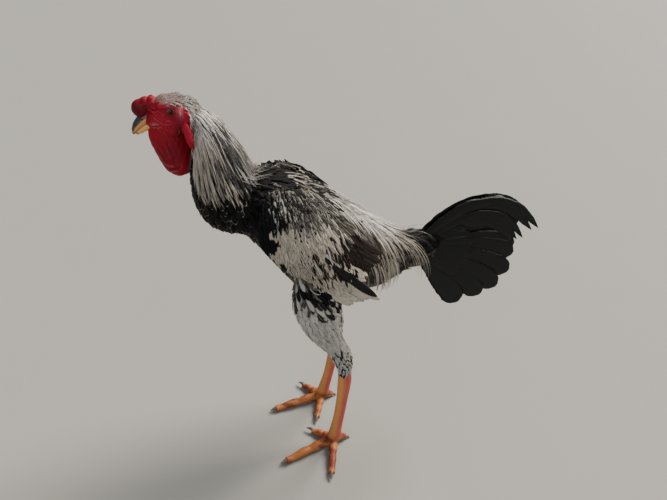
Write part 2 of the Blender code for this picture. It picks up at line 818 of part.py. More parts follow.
def digit_path(digit, hub):
    """Bands from the ball of the foot to the claw's root, then to the claw's tip."""
    flat = Vector((digit.tip.x, digit.tip.y, 0)) - hub
    ahead = flat.normalized()
    side = Vector((-ahead.y, ahead.x, 0)) * digit.bow
    back = digit.name == "hallux"
    claw = HALLUX_CLAW if back else CLAW_LENGTH
    reach = flat.length - claw
    rises = (0.0190, 0.0185, 0.0165, 0.0130) if back else (0.0014, -0.0006, -0.0010, -0.0009)
    toe = []
    for i, rise in enumerate(rises):
        bend = side * math.sin(math.pi * i / 3.6)
        at = hub + ahead * (0.006 + (reach - 0.006) * i / 3) + bend
        thick = digit.thick * (1.0 - 0.10 * i)
        toe.append(Band(at.x, at.y, thick + rise + digit.lift * i / 3, thick, thick))
    last = toe[-1]
    end = Vector((last.x, last.y, last.z))
    ahead = (digit.tip - end).normalized()
    rise = Vector((0, 0, 0.0014))
    nail = [
        Band(*(end - ahead * 0.004), 0.0042, 0.0040),
        Band(*(end + ahead * 0.005 + rise), 0.0040, 0.0036),
        Band(*(end + (digit.tip - end) * 0.65 + rise), 0.0026, 0.0022),
        Band(*digit.tip, 0.0008, 0.0008),
    ]
    return toe, nail


def build_digit(side, digit, hub, inner):
    toe_bands, nail_bands = digit_path(digit, hub)

    def pads(i):
        return 0.0006 if i % 3 == 1 else -0.0003

    toe = limb_loft(
        "toe_%s_%s" % (side, digit.name), toe_bands, 8, 10, floor=0.0, step=pads
    )
    cut(toe, [grown(item) for item in inner])
    claw = limb_loft("claw_%s_%s" % (side, digit.name), nail_bands, 5, 7, floor=0.0)
    cut(claw, [grown(toe)])
    return [toe, claw]


# Assembly


def centre_on_floor(items):
    """Moves the origin under the middle of the whole bird. Its soles already rest at zero."""
    spots = [v.co for item in items for v in item.data.vertices]
    middle = [(min(p[i] for p in spots) + max(p[i] for p in spots)) / 2 for i in (0, 1)]
    for item in items:
        item.data.transform(Matrix.Translation((-middle[0], -middle[1], 0)))


def main():
    clear_scene()
    torso = build_torso()
    neck = build_neck(torso)
    eyes = [build_eye("left", -1), build_eye("right", 1)]
    head = build_head(eyes, neck)
    upper, lower = build_beak(head)
    comb = build_comb(head, upper)
    dewlap = build_dewlap([head, lower, neck])
    inner = [head, dewlap, neck]
    lobes = [build_lobe("left", -1, inner), build_lobe("right", 1, inner)]
    thighs = [build_thigh("left", -1, torso), build_thigh("right", 1, torso)]
    wing = build_wing("left", -1, [torso, thighs[0], neck])
    other = build_wing("right", 1, [torso, thighs[1], neck])
    tail = build_tail(torso)
    horn, skin, black = (0.20, 0.17, 0.15), (0.55, 0.04, 0.05), (0.02, 0.02, 0.022)
    paint = [(torso, (0.36, 0.33, 0.29)), (neck, (0.62, 0.59, 0.52)), (tail, black)]
    paint += [(wing, (0.45, 0.43, 0.38)), (other, (0.45, 0.43, 0.38))]
    paint += [(item, skin) for item in [head, comb, dewlap] + lobes]
    paint += [(item, (0.50, 0.49, 0.46)) for item in thighs]
    paint += [(upper, (0.12, 0.09, 0.06)), (lower, (0.62, 0.42, 0.14))]
    paint += [(eye, (0.30, 0.12, 0.03)) for eye in eyes]
    for side, hand, digits in (("left", -1, LEFT_DIGITS), ("right", 1, RIGHT_DIGITS)):
        shank = build_shank(side, hand, thighs[0 if hand < 0 else 1])
        paint.append((shank, (0.72, 0.36, 0.10)))
        hub = Vector((0.0010, hand * STANCE, 0))
        done = [shank]
        for digit in digits:
            toe, claw = build_digit(side, digit, hub, done)
            done.append(toe)
            paint += [(toe, (0.74, 0.40, 0.12)), (claw, horn)]
    join(torso, saddle_hackles())
    join(neck, hackles())
    for item, colour in paint:
        dress(item, colour)
    centre_on_floor([item for item, colour in paint])


main()
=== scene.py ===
"""A life-size still model of a Malay gamecock, built as skin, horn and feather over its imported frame.

Every place below is in the bird's own frame, in metres: the bird faces -X, its left side is -Y,
+Z is up and the origin lies on the floor between its feet.
"""

import logging
import math
from collections.abc import Callable
from dataclasses import dataclass, field
from enum import Enum

import bmesh
import bpy
import numpy as np
from mathutils import Matrix, Vector
from mathutils.bvhtree import BVHTree

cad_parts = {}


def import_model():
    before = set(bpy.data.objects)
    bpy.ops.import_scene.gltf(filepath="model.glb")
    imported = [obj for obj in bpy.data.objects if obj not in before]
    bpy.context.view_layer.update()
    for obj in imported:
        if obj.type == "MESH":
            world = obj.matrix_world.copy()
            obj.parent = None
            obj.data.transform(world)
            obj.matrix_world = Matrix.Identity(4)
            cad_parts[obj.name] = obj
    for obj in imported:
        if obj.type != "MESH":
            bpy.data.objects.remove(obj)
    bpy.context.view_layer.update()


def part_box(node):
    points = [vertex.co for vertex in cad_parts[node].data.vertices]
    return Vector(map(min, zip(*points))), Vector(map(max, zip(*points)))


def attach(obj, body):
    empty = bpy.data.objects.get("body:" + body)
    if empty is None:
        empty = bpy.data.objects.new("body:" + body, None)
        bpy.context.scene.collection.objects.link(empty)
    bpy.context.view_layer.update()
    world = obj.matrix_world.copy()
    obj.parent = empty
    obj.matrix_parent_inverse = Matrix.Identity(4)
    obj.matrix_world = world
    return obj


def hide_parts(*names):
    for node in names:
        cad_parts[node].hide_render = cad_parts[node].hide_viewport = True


log = logging.getLogger("gamecock")

UP = np.array((0., 0., 1.))
TAU = 2 * math.pi
PATCH = .003  # share of the flat sheet that one feather's patch takes
TINY = 1e-9
Span = tuple[float, float]
Triple = tuple[float, float, float]
Rows = tuple[tuple[float, ...], ...]
SIDES = {-1: "left", 1: "right"}


# Colour and small numeric helpers

def linear(code: str) -> tuple[float, float, float, float]:
    """Turn an sRGB hex colour to linear.

    Args:
        code: six hex digits, with or without a leading hash.

    Returns:
        Linear red, green, blue and an alpha of one.
    """
    digits = code.lstrip("#")
    parts = [int(digits[i:i + 2], 16) / 255 for i in (0, 2, 4)]
    red, green, blue = [c / 12.92 if c <= .04045 else ((c + .055) / 1.055) ** 2.4 for c in parts]
    return red, green, blue, 1.


def unit(vectors: np.ndarray) -> np.ndarray:
    """Return vectors scaled to length one along their last axis."""
    return vectors / np.maximum(np.linalg.norm(vectors, axis=-1, keepdims=True), TINY)


def smooth(low: float, high: float, numbers: np.ndarray) -> np.ndarray:
    """Return numbers eased from nought at low to one at high."""
    t = np.clip((numbers - low) / (high - low), 0, 1)
    return t * t * (3 - 2 * t)


def between(low: float, high: float, share: float | np.ndarray) -> float | np.ndarray:
    """Return the number that lies at a share of the way from low to high."""
    return low + (high - low) * share


def mixed(first: np.ndarray | tuple, second: np.ndarray | tuple, share: np.ndarray) -> np.ndarray:
    """Return the first colours mixed with a share of the second, one share for each point."""
    return first * (1 - share[:, None]) + second * share[:, None]


def along(rows: np.ndarray, t: np.ndarray) -> np.ndarray:
    """Read a smooth curve through rows of numbers.

    Args:
        rows: one row for each station, at least two.
        t: places along the rows, nought at the first and one at the last.

    Returns:
        One interpolated row for each place.
    """
    rows = np.asarray(rows, float)
    count = len(rows)
    spot = np.clip(np.asarray(t, float), 0, 1) * (count - 1)
    i = np.minimum(spot.astype(int), count - 2)
    f = (spot - i)[..., None]
    a, b = rows[np.maximum(i - 1, 0)], rows[i]
    c, d = rows[i + 1], rows[np.minimum(i + 2, count - 1)]
    return b + .5 * f * (c - a + f * (2 * a - 5 * b + 4 * c - d + f * (3 * (b - c) + d - a)))


def ripple(points: np.ndarray, wavelength: float, seed: int) -> np.ndarray:
    """Give a smooth random field from a few waves.

    Args:
        points: places, x, y, z on the last axis.
        wavelength: typical distance between crests.
        seed: number that picks the waves.

    Returns:
        Values between about minus one and one.
    """
    pick = np.random.default_rng(seed)
    total = np.zeros(points.shape[:-1])
    waves = 6
    for _ in range(waves):
        way = unit(pick.normal(size=3)) * TAU / wavelength * pick.uniform(.6, 1.5)
        total += np.sin(points @ way + pick.uniform(0, TAU))
    return total / (waves / 2)


# Shapes: closed meshes as points and faces

@dataclass
class Shape:
    """Points and faces of one or more closed meshes."""

    points: np.ndarray
    faces: list[tuple[int, ...]]

    def __add__(self, other: "Shape") -> "Shape":
        """Return both shapes side by side in one."""
        step = len(self.points)
        faces = self.faces + [tuple(i + step for i in face) for face in other.faces]
        return Shape(np.vstack([self.points, other.points]), faces)

    def mirrored(self) -> "Shape":
        """Return the shape on the other side of the bird."""
        return Shape(self.points * (1, -1, 1), [face[::-1] for face in self.faces])

    def mesh(self, name: str) -> bpy.types.Mesh:
        """Make a mesh of the shape.

        Args:
            name: name of the mesh.

        Returns:
            The mesh, with its faces turned outwards.
        """
        mesh = bpy.data.meshes.new(name)
        mesh.from_pydata(self.points.tolist(), [], self.faces)
        work = bmesh.new()
        work.from_mesh(mesh)
        bmesh.ops.recalc_face_normals(work, faces=work.faces)
        work.to_mesh(mesh)
        work.free()
        mesh.update()
        return mesh


def loft(rings: np.ndarray) -> Shape:
    """Join rings of points to a closed tube with pointed ends.

    Args:
        rings: array of ring, point on the ring, x y z.

    Returns:
        The closed tube.
    """
    count, size = rings.shape[:2]
    points = np.vstack([rings.reshape(-1, 3), rings[0].mean(0), rings[-1].mean(0)])
    faces = []
    for row in range(count - 1):
        for i in range(size):
            j = (i + 1) % size
            faces.append((row * size + i, row * size + j, (row + 1) * size + j, (row + 1) * size + i))
    first, last = count * size, count * size + 1
    for i in range(size):
        j = (i + 1) % size
        faces.append((first, j, i))
        faces.append((last, (count - 1) * size + i, (count - 1) * size + j))
    return Shape(points, faces)


def ball(centre: tuple[float, ...], radii: tuple[float, ...], pitch: float = 0, rings: int = 24) -> Shape:
    """Make an ellipsoid.

    Args:
        centre: its middle.
        radii: half lengths fore, sideways and up.
        pitch: degrees that its front end is turned down.
        rings: how many rings of points it has.

    Returns:
        The closed ellipsoid.
    """
    turn = np.linspace(0, TAU, rings * 2, endpoint=False)
    tilt = np.linspace(0, math.pi, rings + 2)[1:-1]
    x = -np.cos(tilt)[:, None] * np.ones_like(turn)
    y = np.sin(tilt)[:, None] * np.cos(turn)
    z = np.sin(tilt)[:, None] * np.sin(turn)
    round_points = np.stack([x, y, z], -1) * np.array(radii)
    swing = np.array(Matrix.Rotation(-math.radians(pitch), 3, "Y"))
    return loft(round_points @ swing.T + np.array(centre))


def band_tube(bands: np.ndarray, count: int, size: int, power: float = 2) -> Shape:
    """Loft a limb whose rings stay square to its own line.

    Args:
        bands: rows of x, y, z, half depth fore and half width sideways.
        count: how many rings to make.
        size: points on a ring.
        power: two for round rings, more for squarer ones.

    Returns:
        The closed limb.
    """
    t = np.linspace(0, 1, count)
    rows = along(bands, t)
    centre = rows[:, :3]
    line = unit(np.gradient(centre, axis=0))
    fore = np.cross(np.broadcast_to((0., 1., 0.), line.shape), line)
    flat = np.linalg.norm(fore, axis=1, keepdims=True) < .2
    fore = unit(np.where(flat, (1., 0., 0.), fore))
    side = unit(np.cross(line, fore))
    turn = np.linspace(0, TAU, size, endpoint=False)
    c, s = np.cos(turn), np.sin(turn)
    grow = (np.abs(c) ** power + np.abs(s) ** power) ** (-1 / power)
    rings = (centre[:, None] + fore[:, None] * (rows[:, 3:4] * c * grow)[..., None]
             + side[:, None] * (rows[:, 4:5] * s * grow)[..., None])
    return loft(rings)


def new_object(name: str, mesh: bpy.types.Mesh) -> bpy.types.Object:
    """Link a mesh to the scene.

    Args:
        name: name of the object.
        mesh: its mesh.

    Returns:
        The new object.
    """
    made = bpy.data.objects.new(name, mesh)
    bpy.context.scene.collection.objects.link(made)
    return made


def settled(made: bpy.types.Object) -> bpy.types.Object:
    """Turn an object's modifiers into its mesh.

    Args:
        made: object with modifiers.

    Returns:
        The same object without them.
    """
    graph = bpy.context.evaluated_depsgraph_get()
    done = bpy.data.meshes.new_from_object(made.evaluated_get(graph))
    made.modifiers.clear()
    old = made.data
    made.data = done
    bpy.data.meshes.remove(old)
    return made


def melted(name: str, shape: Shape, cell: float, rounds: int) -> bpy.types.Object:
    """Melt overlapping shapes into one even mesh.

    Args:
        name: name of the object.
        shape: closed shapes that overlap.
        cell: size of the cells of the melt.
        rounds: rounds of smoothing after it.

    Returns:
        The melted object.
    """
    made = new_object(name, shape.mesh(name))
    melt = made.modifiers.new("melt", "REMESH")
    melt.mode = "VOXEL"
    melt.voxel_size = cell
    ease = made.modifiers.new("ease", "SMOOTH")
    ease.iterations = rounds
    return settled(made)


def joined(base: bpy.types.Object, other: bpy.types.Object, way: str = "UNION") -> bpy.types.Object:
    """Join or cut one closed object with another.

    Args:
        base: object that is kept.
        other: object that is used up.
        way: UNION to join, DIFFERENCE to cut.

    Returns:
        The kept object.
    """
    step = base.modifiers.new("join", "BOOLEAN")
    step.operation = way
    step.solver = "MANIFOLD"
    step.object = other
    settled(base)
    bpy.data.objects.remove(other)
    return base


def vectors_of(mesh: bpy.types.Mesh, kind: str = "co") -> np.ndarray:
    """Read the places or the normals of a mesh's points.

    Args:
        mesh: the mesh.
        kind: co for places, normal for normals.

    Returns:
        Array of x, y, z.
    """
    flat = np.empty(len(mesh.vertices) * 3, np.float32)
    mesh.vertices.foreach_get(kind, flat)
    return flat.reshape(-1, 3).astype(float)


def put_points(mesh: bpy.types.Mesh, points: np.ndarray) -> None:
    """Write the places of a mesh's points."""
    mesh.vertices.foreach_set("co", points.astype(np.float32).ravel())
    mesh.update()


def store(mesh: bpy.types.Mesh, name: str, values: np.ndarray) -> None:
    """Store a number or a linear colour at each point of a mesh.

    Args:
        mesh: the mesh.
        name: name of the attribute.
        values: one number each, or four.
    """
    kind, key = ("FLOAT", "value") if values.ndim == 1 else ("FLOAT_COLOR", "color")
    layer = mesh.attributes.new(name, kind, "POINT")
    layer.data.foreach_set(key, values.astype(np.float32).ravel())


def finished(made: bpy.types.Object, material: bpy.types.Material) -> bpy.types.Object:
    """Give a piece a smooth surface and its material, and return it."""
    made.data.shade_smooth()
    made.data.materials.append(material)
    return made


# Finishes

KERATIN_IOR = 1.54
SKIN_IOR = 1.42
MIX_SHARE, MIX_FIRST, MIX_SECOND = 0, 6, 7  # sockets of a colour mix


def add(tree: bpy.types.NodeTree, kind: str, inputs: dict | tuple = (),
        **settings: object) -> bpy.types.Node:
    """Add a node with its settings and links.

    Args:
        tree: node tree it goes in.
        kind: the node's type name without its prefix.
        inputs: in order, or by name or number: a node or socket to link, or a value to set.
        settings: the node's own properties.

    Returns:
        The node.
    """
    node = tree.nodes.new(f"ShaderNode{kind}")
    for name, setting in settings.items():
        setattr(node, name, setting)
    for key, item in inputs.items() if isinstance(inputs, dict) else enumerate(inputs):
        if isinstance(item, bpy.types.Node):
            item = item.outputs[0]
        if isinstance(item, bpy.types.NodeSocket):
            tree.links.new(item, node.inputs[key])
        else:
            node.inputs[key].default_value = item
    return node


def start_material(name: str) -> tuple[bpy.types.Material, bpy.types.NodeTree]:
    """Make an empty material with nodes.

    Args:
        name: name of the material.

    Returns:
        The material and its node tree.
    """
    made = bpy.data.materials.new(name)
    made.use_nodes = True
    made.node_tree.nodes.clear()
    return made, made.node_tree


def close_up(tree: bpy.types.NodeTree, colour: bpy.types.Node | bpy.types.NodeSocket,
             shade: bpy.types.Node | bpy.types.NodeSocket, settings: dict,
             height: bpy.types.Node | bpy.types.NodeSocket | None = None, depth: float = 0) -> None:
    """Shade a colour and finish the material with its surface shader.

    Args:
        tree: node tree it goes in.
        colour: base colour.
        shade: level that the colour is multiplied by.
        settings: values and links of the surface shader by input name.
        height: relief, nought to one.
        depth: how deep the relief is, in metres.
    """
    shades = add(tree, "CombineColor", (shade, shade, shade))
    layers = {MIX_SHARE: 1., MIX_FIRST: colour, MIX_SECOND: shades}
    shaded = add(tree, "Mix", layers, data_type="RGBA", blend_type="MULTIPLY")
    links = {"Base Color": shaded.outputs[2]}
    if height is not None:
        links["Normal"] = add(tree, "Bump", {"Strength": 1., "Distance": depth, "Height": height})
    add(tree, "OutputMaterial", (add(tree, "BsdfPrincipled", settings | links),))


@dataclass(frozen=True)
class FeatherFinish:
    """Feather keratin: barbs hooked to a flat vane, or loose and downy near the root."""

    name: str
    roughness: float
    specular: float
    sheen: float = 0
    barb_gap: float = .0011
    barb_shade: float = .22
    barb_stray: float = .0012
    barb_slant: float = .004
    specks: Triple = (240., 3.2, 90.)
    wander: float = .45
    streak_narrowing: float = .25
    streak_edge: float = 4.5
    rim_wander: float = .4
    rim_at_tip: float = 3.2
    lace_edge: float = 6.
    blot_level: float = .88
    blot_edge: float = 7.
    shaft_half: float = .09
    shaft_edge: float = 9.
    shaft_shade: float = .12
    relief: float = .00012

    def material(self) -> bpy.types.Material:
        """Build the material.

        Each feather stores where a point lies on its vane, its two colours and its markings.

        Returns:
            The material.
        """
        made, tree = start_material(self.name)
        vane = add(tree, "SeparateColor", (add(tree, "Attribute", attribute_name="vane"),))
        length, across, reach = vane.outputs
        plan = add(tree, "Attribute", attribute_name="plan")
        streak_share, lace_share, mottling = add(tree, "SeparateColor", (plan,)).outputs
        twice = add(tree, "Math", (across, 2., -1.), operation="MULTIPLY_ADD")
        side = add(tree, "Math", (twice,), operation="ABSOLUTE")
        # Pigment is laid down unevenly as the feather grows, so every edge of it wanders.
        place = add(tree, "CombineXYZ", (reach, side, plan.outputs["Alpha"]))
        spread = add(tree, "VectorMath", (place, self.specks), operation="MULTIPLY")
        speck = add(tree, "TexNoise", {"Vector": spread, "Scale": 1., "Detail": 3., "Roughness": .65})
        wobble = add(tree, "Math", (speck, .5), operation="SUBTRACT")
        # A vane is barred by its barbs, which leave the shaft at a slant. Real ones are 0.3 mm apart, too
        # fine to show, so they are drawn at 1.1 mm and more.
        loose = add(tree, "Math", (wobble, self.barb_stray, reach), operation="MULTIPLY_ADD")
        slant = add(tree, "Math", (side, self.barb_slant, loose), operation="MULTIPLY_ADD")
        turns = add(tree, "Math", (slant, TAU / self.barb_gap), operation="MULTIPLY")
        barbs = add(tree, "Math", (turns,), operation="SINE")
        # A streak runs down the shaft and narrows to the tip.
        narrow = add(tree, "Math", (length, -self.streak_narrowing, 1.1), operation="MULTIPLY_ADD")
        streak_reach = add(tree, "Math", (streak_share, narrow), operation="MULTIPLY")
        off_shaft = add(tree, "Math", (wobble, self.wander, side), operation="MULTIPLY_ADD")
        within = add(tree, "Math", (streak_reach, off_shaft), operation="SUBTRACT")
        streak = add(tree, "Math", (within, self.streak_edge), operation="MULTIPLY", use_clamp=True)
        # A lacing runs round the rim.
        to_tip = add(tree, "Math", (1., length), operation="SUBTRACT")
        near_tip = add(tree, "Math", (to_tip, -self.rim_at_tip, 1.), operation="MULTIPLY_ADD")
        rim = add(tree, "Math", (side, near_tip), operation="MAXIMUM")
        ragged = add(tree, "Math", (wobble, self.rim_wander, rim), operation="MULTIPLY_ADD")
        inside = add(tree, "Math", (1., lace_share), operation="SUBTRACT")
        beyond = add(tree, "Math", (ragged, inside), operation="SUBTRACT")
        lace = add(tree, "Math", (beyond, self.lace_edge), operation="MULTIPLY", use_clamp=True)
        # Mottling leaves ragged blots all over.
        lack = add(tree, "Math", (mottling, self.blot_level), operation="SUBTRACT")
        blots = add(tree, "Math", (lack, speck), operation="ADD")
        blot = add(tree, "Math", (blots, self.blot_edge), operation="MULTIPLY", use_clamp=True)
        marked = add(tree, "Math", (streak, lace), operation="MAXIMUM")
        mask = add(tree, "Math", (marked, blot), operation="MAXIMUM")
        ground = add(tree, "Attribute", attribute_name="ground")
        mark = add(tree, "Attribute", attribute_name="mark")
        colour = add(tree, "Mix", {MIX_SHARE: mask, MIX_FIRST: ground, MIX_SECOND: mark}, data_type="RGBA")
        depth = self.barb_shade / 2
        ribbed = add(tree, "Math", (barbs, depth, 1 - depth), operation="MULTIPLY_ADD")
        near_shaft = add(tree, "Math", (self.shaft_half, side), operation="SUBTRACT")
        shaft = add(tree, "Math", (near_shaft, self.shaft_edge), operation="MULTIPLY", use_clamp=True)
        shade = add(tree, "Math", (shaft, -self.shaft_shade, ribbed), operation="MULTIPLY_ADD")
        height = add(tree, "Math", (barbs, .5, .5), operation="MULTIPLY_ADD")
        close_up(tree, colour.outputs[2], shade, {
            "Roughness": self.roughness, "Specular IOR Level": self.specular, "IOR": KERATIN_IOR,
            "Sheen Weight": self.sheen, "Sheen Roughness": .5}, height, self.relief)
        return made


@dataclass(frozen=True)
class SkinFinish:
    """Skin: blood near the surface under a thin, slightly oily horny layer."""

    name: str
    grain: float
    relief: float
    roughness: float
    subsurface: float
    gloss: float
    specular: float = .2
    mottle: float = .18
    blood: Triple = (.0032, .0011, .0007)

    def material(self) -> bpy.types.Material:
        """Build the material; each point stores its tone.

        Returns:
            The material.
        """
        made, tree = start_material(self.name)
        where = add(tree, "TexCoord").outputs["Object"]
        # Papillae and fine folds of the skin, each a fraction of a millimetre across.
        fine = {"Vector": where, "Scale": 1 / self.grain, "Detail": 4., "Roughness": .6}
        grain = add(tree, "TexNoise", fine)
        cells = add(tree, "TexVoronoi", {"Vector": where, "Scale": .7 / self.grain}, feature="SMOOTH_F1")
        broad = add(tree, "TexNoise", {"Vector": where, "Scale": .12 / self.grain, "Detail": 3.})
        cloudy = add(tree, "Math", (broad, 2 * self.mottle, 1 - 1.5 * self.mottle), operation="MULTIPLY_ADD")
        level = add(tree, "Math", (grain, self.mottle, cloudy), operation="MULTIPLY_ADD")
        height = add(tree, "Math", (cells.outputs["Distance"], .6, grain), operation="MULTIPLY_ADD")
        rough = add(tree, "Math", (grain, .25, self.roughness - .12), operation="MULTIPLY_ADD")
        close_up(tree, add(tree, "Attribute", attribute_name="tone"), level, {
            "Roughness": rough, "Subsurface Weight": self.subsurface, "Subsurface Scale": 1.,
            "Subsurface Radius": self.blood, "Specular IOR Level": self.specular, "IOR": SKIN_IOR,
            "Coat Weight": self.gloss, "Coat Roughness": .28}, height, self.relief)
        return made


@dataclass(frozen=True)
class HornFinish:
    """Horn: layers of keratin grown forwards, polished on top by wear, slightly see-through at the edge."""

    name: str
    base: str
    side: str
    ridge: str
    tip: str
    ridge_edge: float = .78
    roughness: float = .38
    root_end: float = .22
    root_edge: float = 6.
    fray: float = .5
    ridge_blur: float = 9.
    tip_start: float = .74
    tip_edge: float = 5.
    fibres: Triple = (5., 26., 1.)
    relief: float = .00012

    def material(self) -> bpy.types.Material:
        """Build the material; each point stores how far along and how near the ridge it lies.

        Returns:
            The material.
        """
        made, tree = start_material(self.name)
        run, high, _ = add(tree, "SeparateColor", (add(tree, "Attribute", attribute_name="horn"),)).outputs
        place = add(tree, "CombineXYZ", (run, high, 0.))
        spread = add(tree, "VectorMath", (place, self.fibres), operation="MULTIPLY")
        fibres = add(tree, "TexNoise", {"Vector": spread, "Scale": 1., "Detail": 4.})
        before = add(tree, "Math", (self.root_end, run), operation="SUBTRACT")
        rooted = add(tree, "Math", (before, self.root_edge), operation="MULTIPLY", use_clamp=True)
        layers = {MIX_SHARE: rooted, MIX_FIRST: linear(self.side), MIX_SECOND: linear(self.base)}
        body = add(tree, "Mix", layers, data_type="RGBA")
        above = add(tree, "Math", (high, self.ridge_edge + .25), operation="SUBTRACT")
        frayed = add(tree, "Math", (fibres, self.fray, above), operation="MULTIPLY_ADD")
        top = add(tree, "Math", (frayed, self.ridge_blur), operation="MULTIPLY", use_clamp=True)
        layers = {MIX_SHARE: top, MIX_FIRST: body.outputs[2], MIX_SECOND: linear(self.ridge)}
        capped = add(tree, "Mix", layers, data_type="RGBA")
        beyond = add(tree, "Math", (run, self.tip_start), operation="SUBTRACT")
        end = add(tree, "Math", (beyond, self.tip_edge), operation="MULTIPLY", use_clamp=True)
        layers = {MIX_SHARE: end, MIX_FIRST: capped.outputs[2], MIX_SECOND: linear(self.tip)}
        tipped = add(tree, "Mix", layers, data_type="RGBA")
        shade = add(tree, "Math", (fibres, .5, .72), operation="MULTIPLY_ADD")
        close_up(tree, tipped.outputs[2], shade, {
            "Roughness": self.roughness, "Specular IOR Level": .5, "IOR": KERATIN_IOR, "Coat Weight": .3,
            "Coat Roughness": .22}, fibres, self.relief)
        return made


@dataclass(frozen=True)
class EyeFinish:
    """A living eye as its maker casts it: painted iris behind clear, wet, domed glass."""

    name: str = "glass eye with brown iris"
    rings: tuple[tuple[float, str], ...] = (
        (.0, "050404"), (.42, "050404"), (.46, "4a2c1a"), (.58, "94633c"), (.70, "a5744a"), (.80, "d8b294"),
        (.87, "c08a70"), (.93, "1a0c0a"))
    flecks: float = 1800.  # of them to a metre, about half a millimetre each

    def material(self) -> bpy.types.Material:
        """Build the material; each point stores its share of the way from the pupil's middle to the rim.

        Returns:
            The material.
        """
        made, tree = start_material(self.name)
        colour = add(tree, "ValToRGB", (add(tree, "Attribute", attribute_name="radial").outputs["Fac"],))
        bar = colour.color_ramp.elements
        while len(bar) < len(self.rings):
            bar.new(.5)
        for stop, (place, code) in zip(bar, self.rings):
            stop.position = place
            stop.color = linear(code)
        where = add(tree, "TexCoord").outputs["Object"]
        flecks = add(tree, "TexNoise", {"Vector": where, "Scale": self.flecks, "Detail": 2.})
        shade = add(tree, "Math", (flecks, .5, .75), operation="MULTIPLY_ADD")
        close_up(tree, colour, shade, {"Roughness": .45, "Specular IOR Level": .1, "Coat Weight": .7,
                                       "Coat Roughness": .02, "Coat IOR": 1.4})
        return made


@dataclass(frozen=True)
class FloorFinish:
    """Matt painted board, plain and pale, with the faint cloud that a roller leaves."""

    name: str = "matt painted board"
    colour: str = "83837f"
    cloud: float = .35

    def material(self) -> bpy.types.Material:
        """Build the material and return it."""
        made, tree = start_material(self.name)
        where = add(tree, "TexCoord").outputs["Object"]
        cloud = add(tree, "TexNoise", {"Vector": where, "Scale": 1 / self.cloud, "Detail": 3.})
        shade = add(tree, "Math", (cloud, .05, .975), operation="MULTIPLY_ADD")
        close_up(tree, linear(self.colour), shade, {"Roughness": .8, "Specular IOR Level": .25})
        return made


# Bare skin is softly shiny where it is stretched; skin under down is dull; scales have a hard dry shine.
BARE_SKIN = SkinFinish("bare red skin", grain=.0011, relief=.00026, roughness=.56, subsurface=.08, gloss=.02)
DOWNY_SKIN = SkinFinish("skin under down", grain=.004, relief=.0006, roughness=.85, subsurface=0, gloss=0,
                        mottle=.35)
LEG_SCALE = SkinFinish("leg scale", grain=.0016, relief=.00016, roughness=.52, subsurface=.08, gloss=.05,
                       specular=.3)
# Hooked barbs make a firm vane with a silky glint along it; loose ones scatter light and look matt.
CONTOUR_VANE = FeatherFinish("contour feather", roughness=.6, specular=.10)
HACKLE_VANE = FeatherFinish("hackle feather", roughness=.42, specular=.4, barb_gap=.0016, barb_shade=.16)
FLIGHT_VANE = FeatherFinish("flight feather", roughness=.5, specular=.16, barb_gap=.0014, barb_shade=.14)
TAIL_VANE = FeatherFinish("tail feather", roughness=.42, specular=.20, barb_gap=.0014, barb_shade=.3)
DOWN_VANE = FeatherFinish("down", roughness=.85, specular=.1, sheen=.1, barb_gap=.0020)
# Horn is grown in layers, so it is streaked along its length and polished where it wears.
BEAK_HORN = HornFinish("beak horn", base="4a2a1c", side="c08c4c", ridge="120e0d", tip="5a3d28",
                       ridge_edge=.46)
LOWER_BEAK_HORN = HornFinish("lower beak horn", base="a8683c", side="c9904c", ridge="a8723f", tip="6a4a30")
CLAW_HORN = HornFinish("claw horn", base="6b5545", side="5d4b3e", ridge="4a3b31", tip="a08a72")


# The bird's forms, with the sizes of its solids

@dataclass(frozen=True)
class Trunk:
    """A stretch of body through stations of x, z, lean in degrees, half height and half width."""

    stations: Rows

    def point(self, t: np.ndarray, angle: np.ndarray, out: float | np.ndarray = 0) -> np.ndarray:
        """Find points on the stretch.

        Args:
            t: places along it, nought to one.
            angle: nought on the back line, a quarter turn on the left side.
            out: how far above the surface.

        Returns:
            Points x, y, z.
        """
        row = along(np.array(self.stations), t)
        lean = np.radians(row[..., 2])
        high = (row[..., 3] + out) * np.cos(angle)
        wide = (row[..., 4] + out) * np.sin(angle)
        return np.stack([row[..., 0] + np.sin(lean) * high, -wide, row[..., 1] + np.cos(lean) * high], -1)

    def shape(self, inset: float, rings: int = 40, size: int = 40) -> Shape:
        """Loft the stretch.

        Args:
            inset: how far inside the solid's surface.
            rings: rings along it.
            size: points on a ring.

        Returns:
            The closed loft.
        """
        t = np.linspace(0, 1, rings)[:, None]
        angle = np.linspace(0, TAU, size, endpoint=False)[None]
        return loft(self.point(*np.broadcast_arrays(t, angle), -inset))


TORSO = Trunk((
    (-.128, .496, 12, .020, .023), (-.117, .4945, 14, .044, .048), (-.100, .493, 17, .0545, .061),
    (-.067, .4705, 21, .069, .070), (-.030, .4345, 23, .0825, .073), (.008, .405, 24, .0835, .069),
    (.051, .384, 24, .0715, .061), (.092, .374, 20, .056, .049), (.129, .375, 14, .037, .034),
    (.150, .381, 8, .020, .019)))
NECK = Trunk((
    (-.173, .627, 60, .010, .010), (-.157, .606, 59, .026, .0235), (-.151, .580, 58, .034, .031),
    (-.148, .5515, 56, .044, .038), (-.1425, .525, 54, .049, .045), (-.132, .5015, 50, .049, .050),
    (-.115, .488, 42, .042, .053), (-.095, .480, 35, .034, .050)))
RUMP = Trunk((
    (.108, .377, 10, .033, .031), (.130, .3775, 8, .035, .029), (.152, .3785, 5, .034, .0235),
    (.174, .380, 2, .029, .0155), (.193, .381, 0, .021, .008), (.202, .3815, 0, .008, .003)))
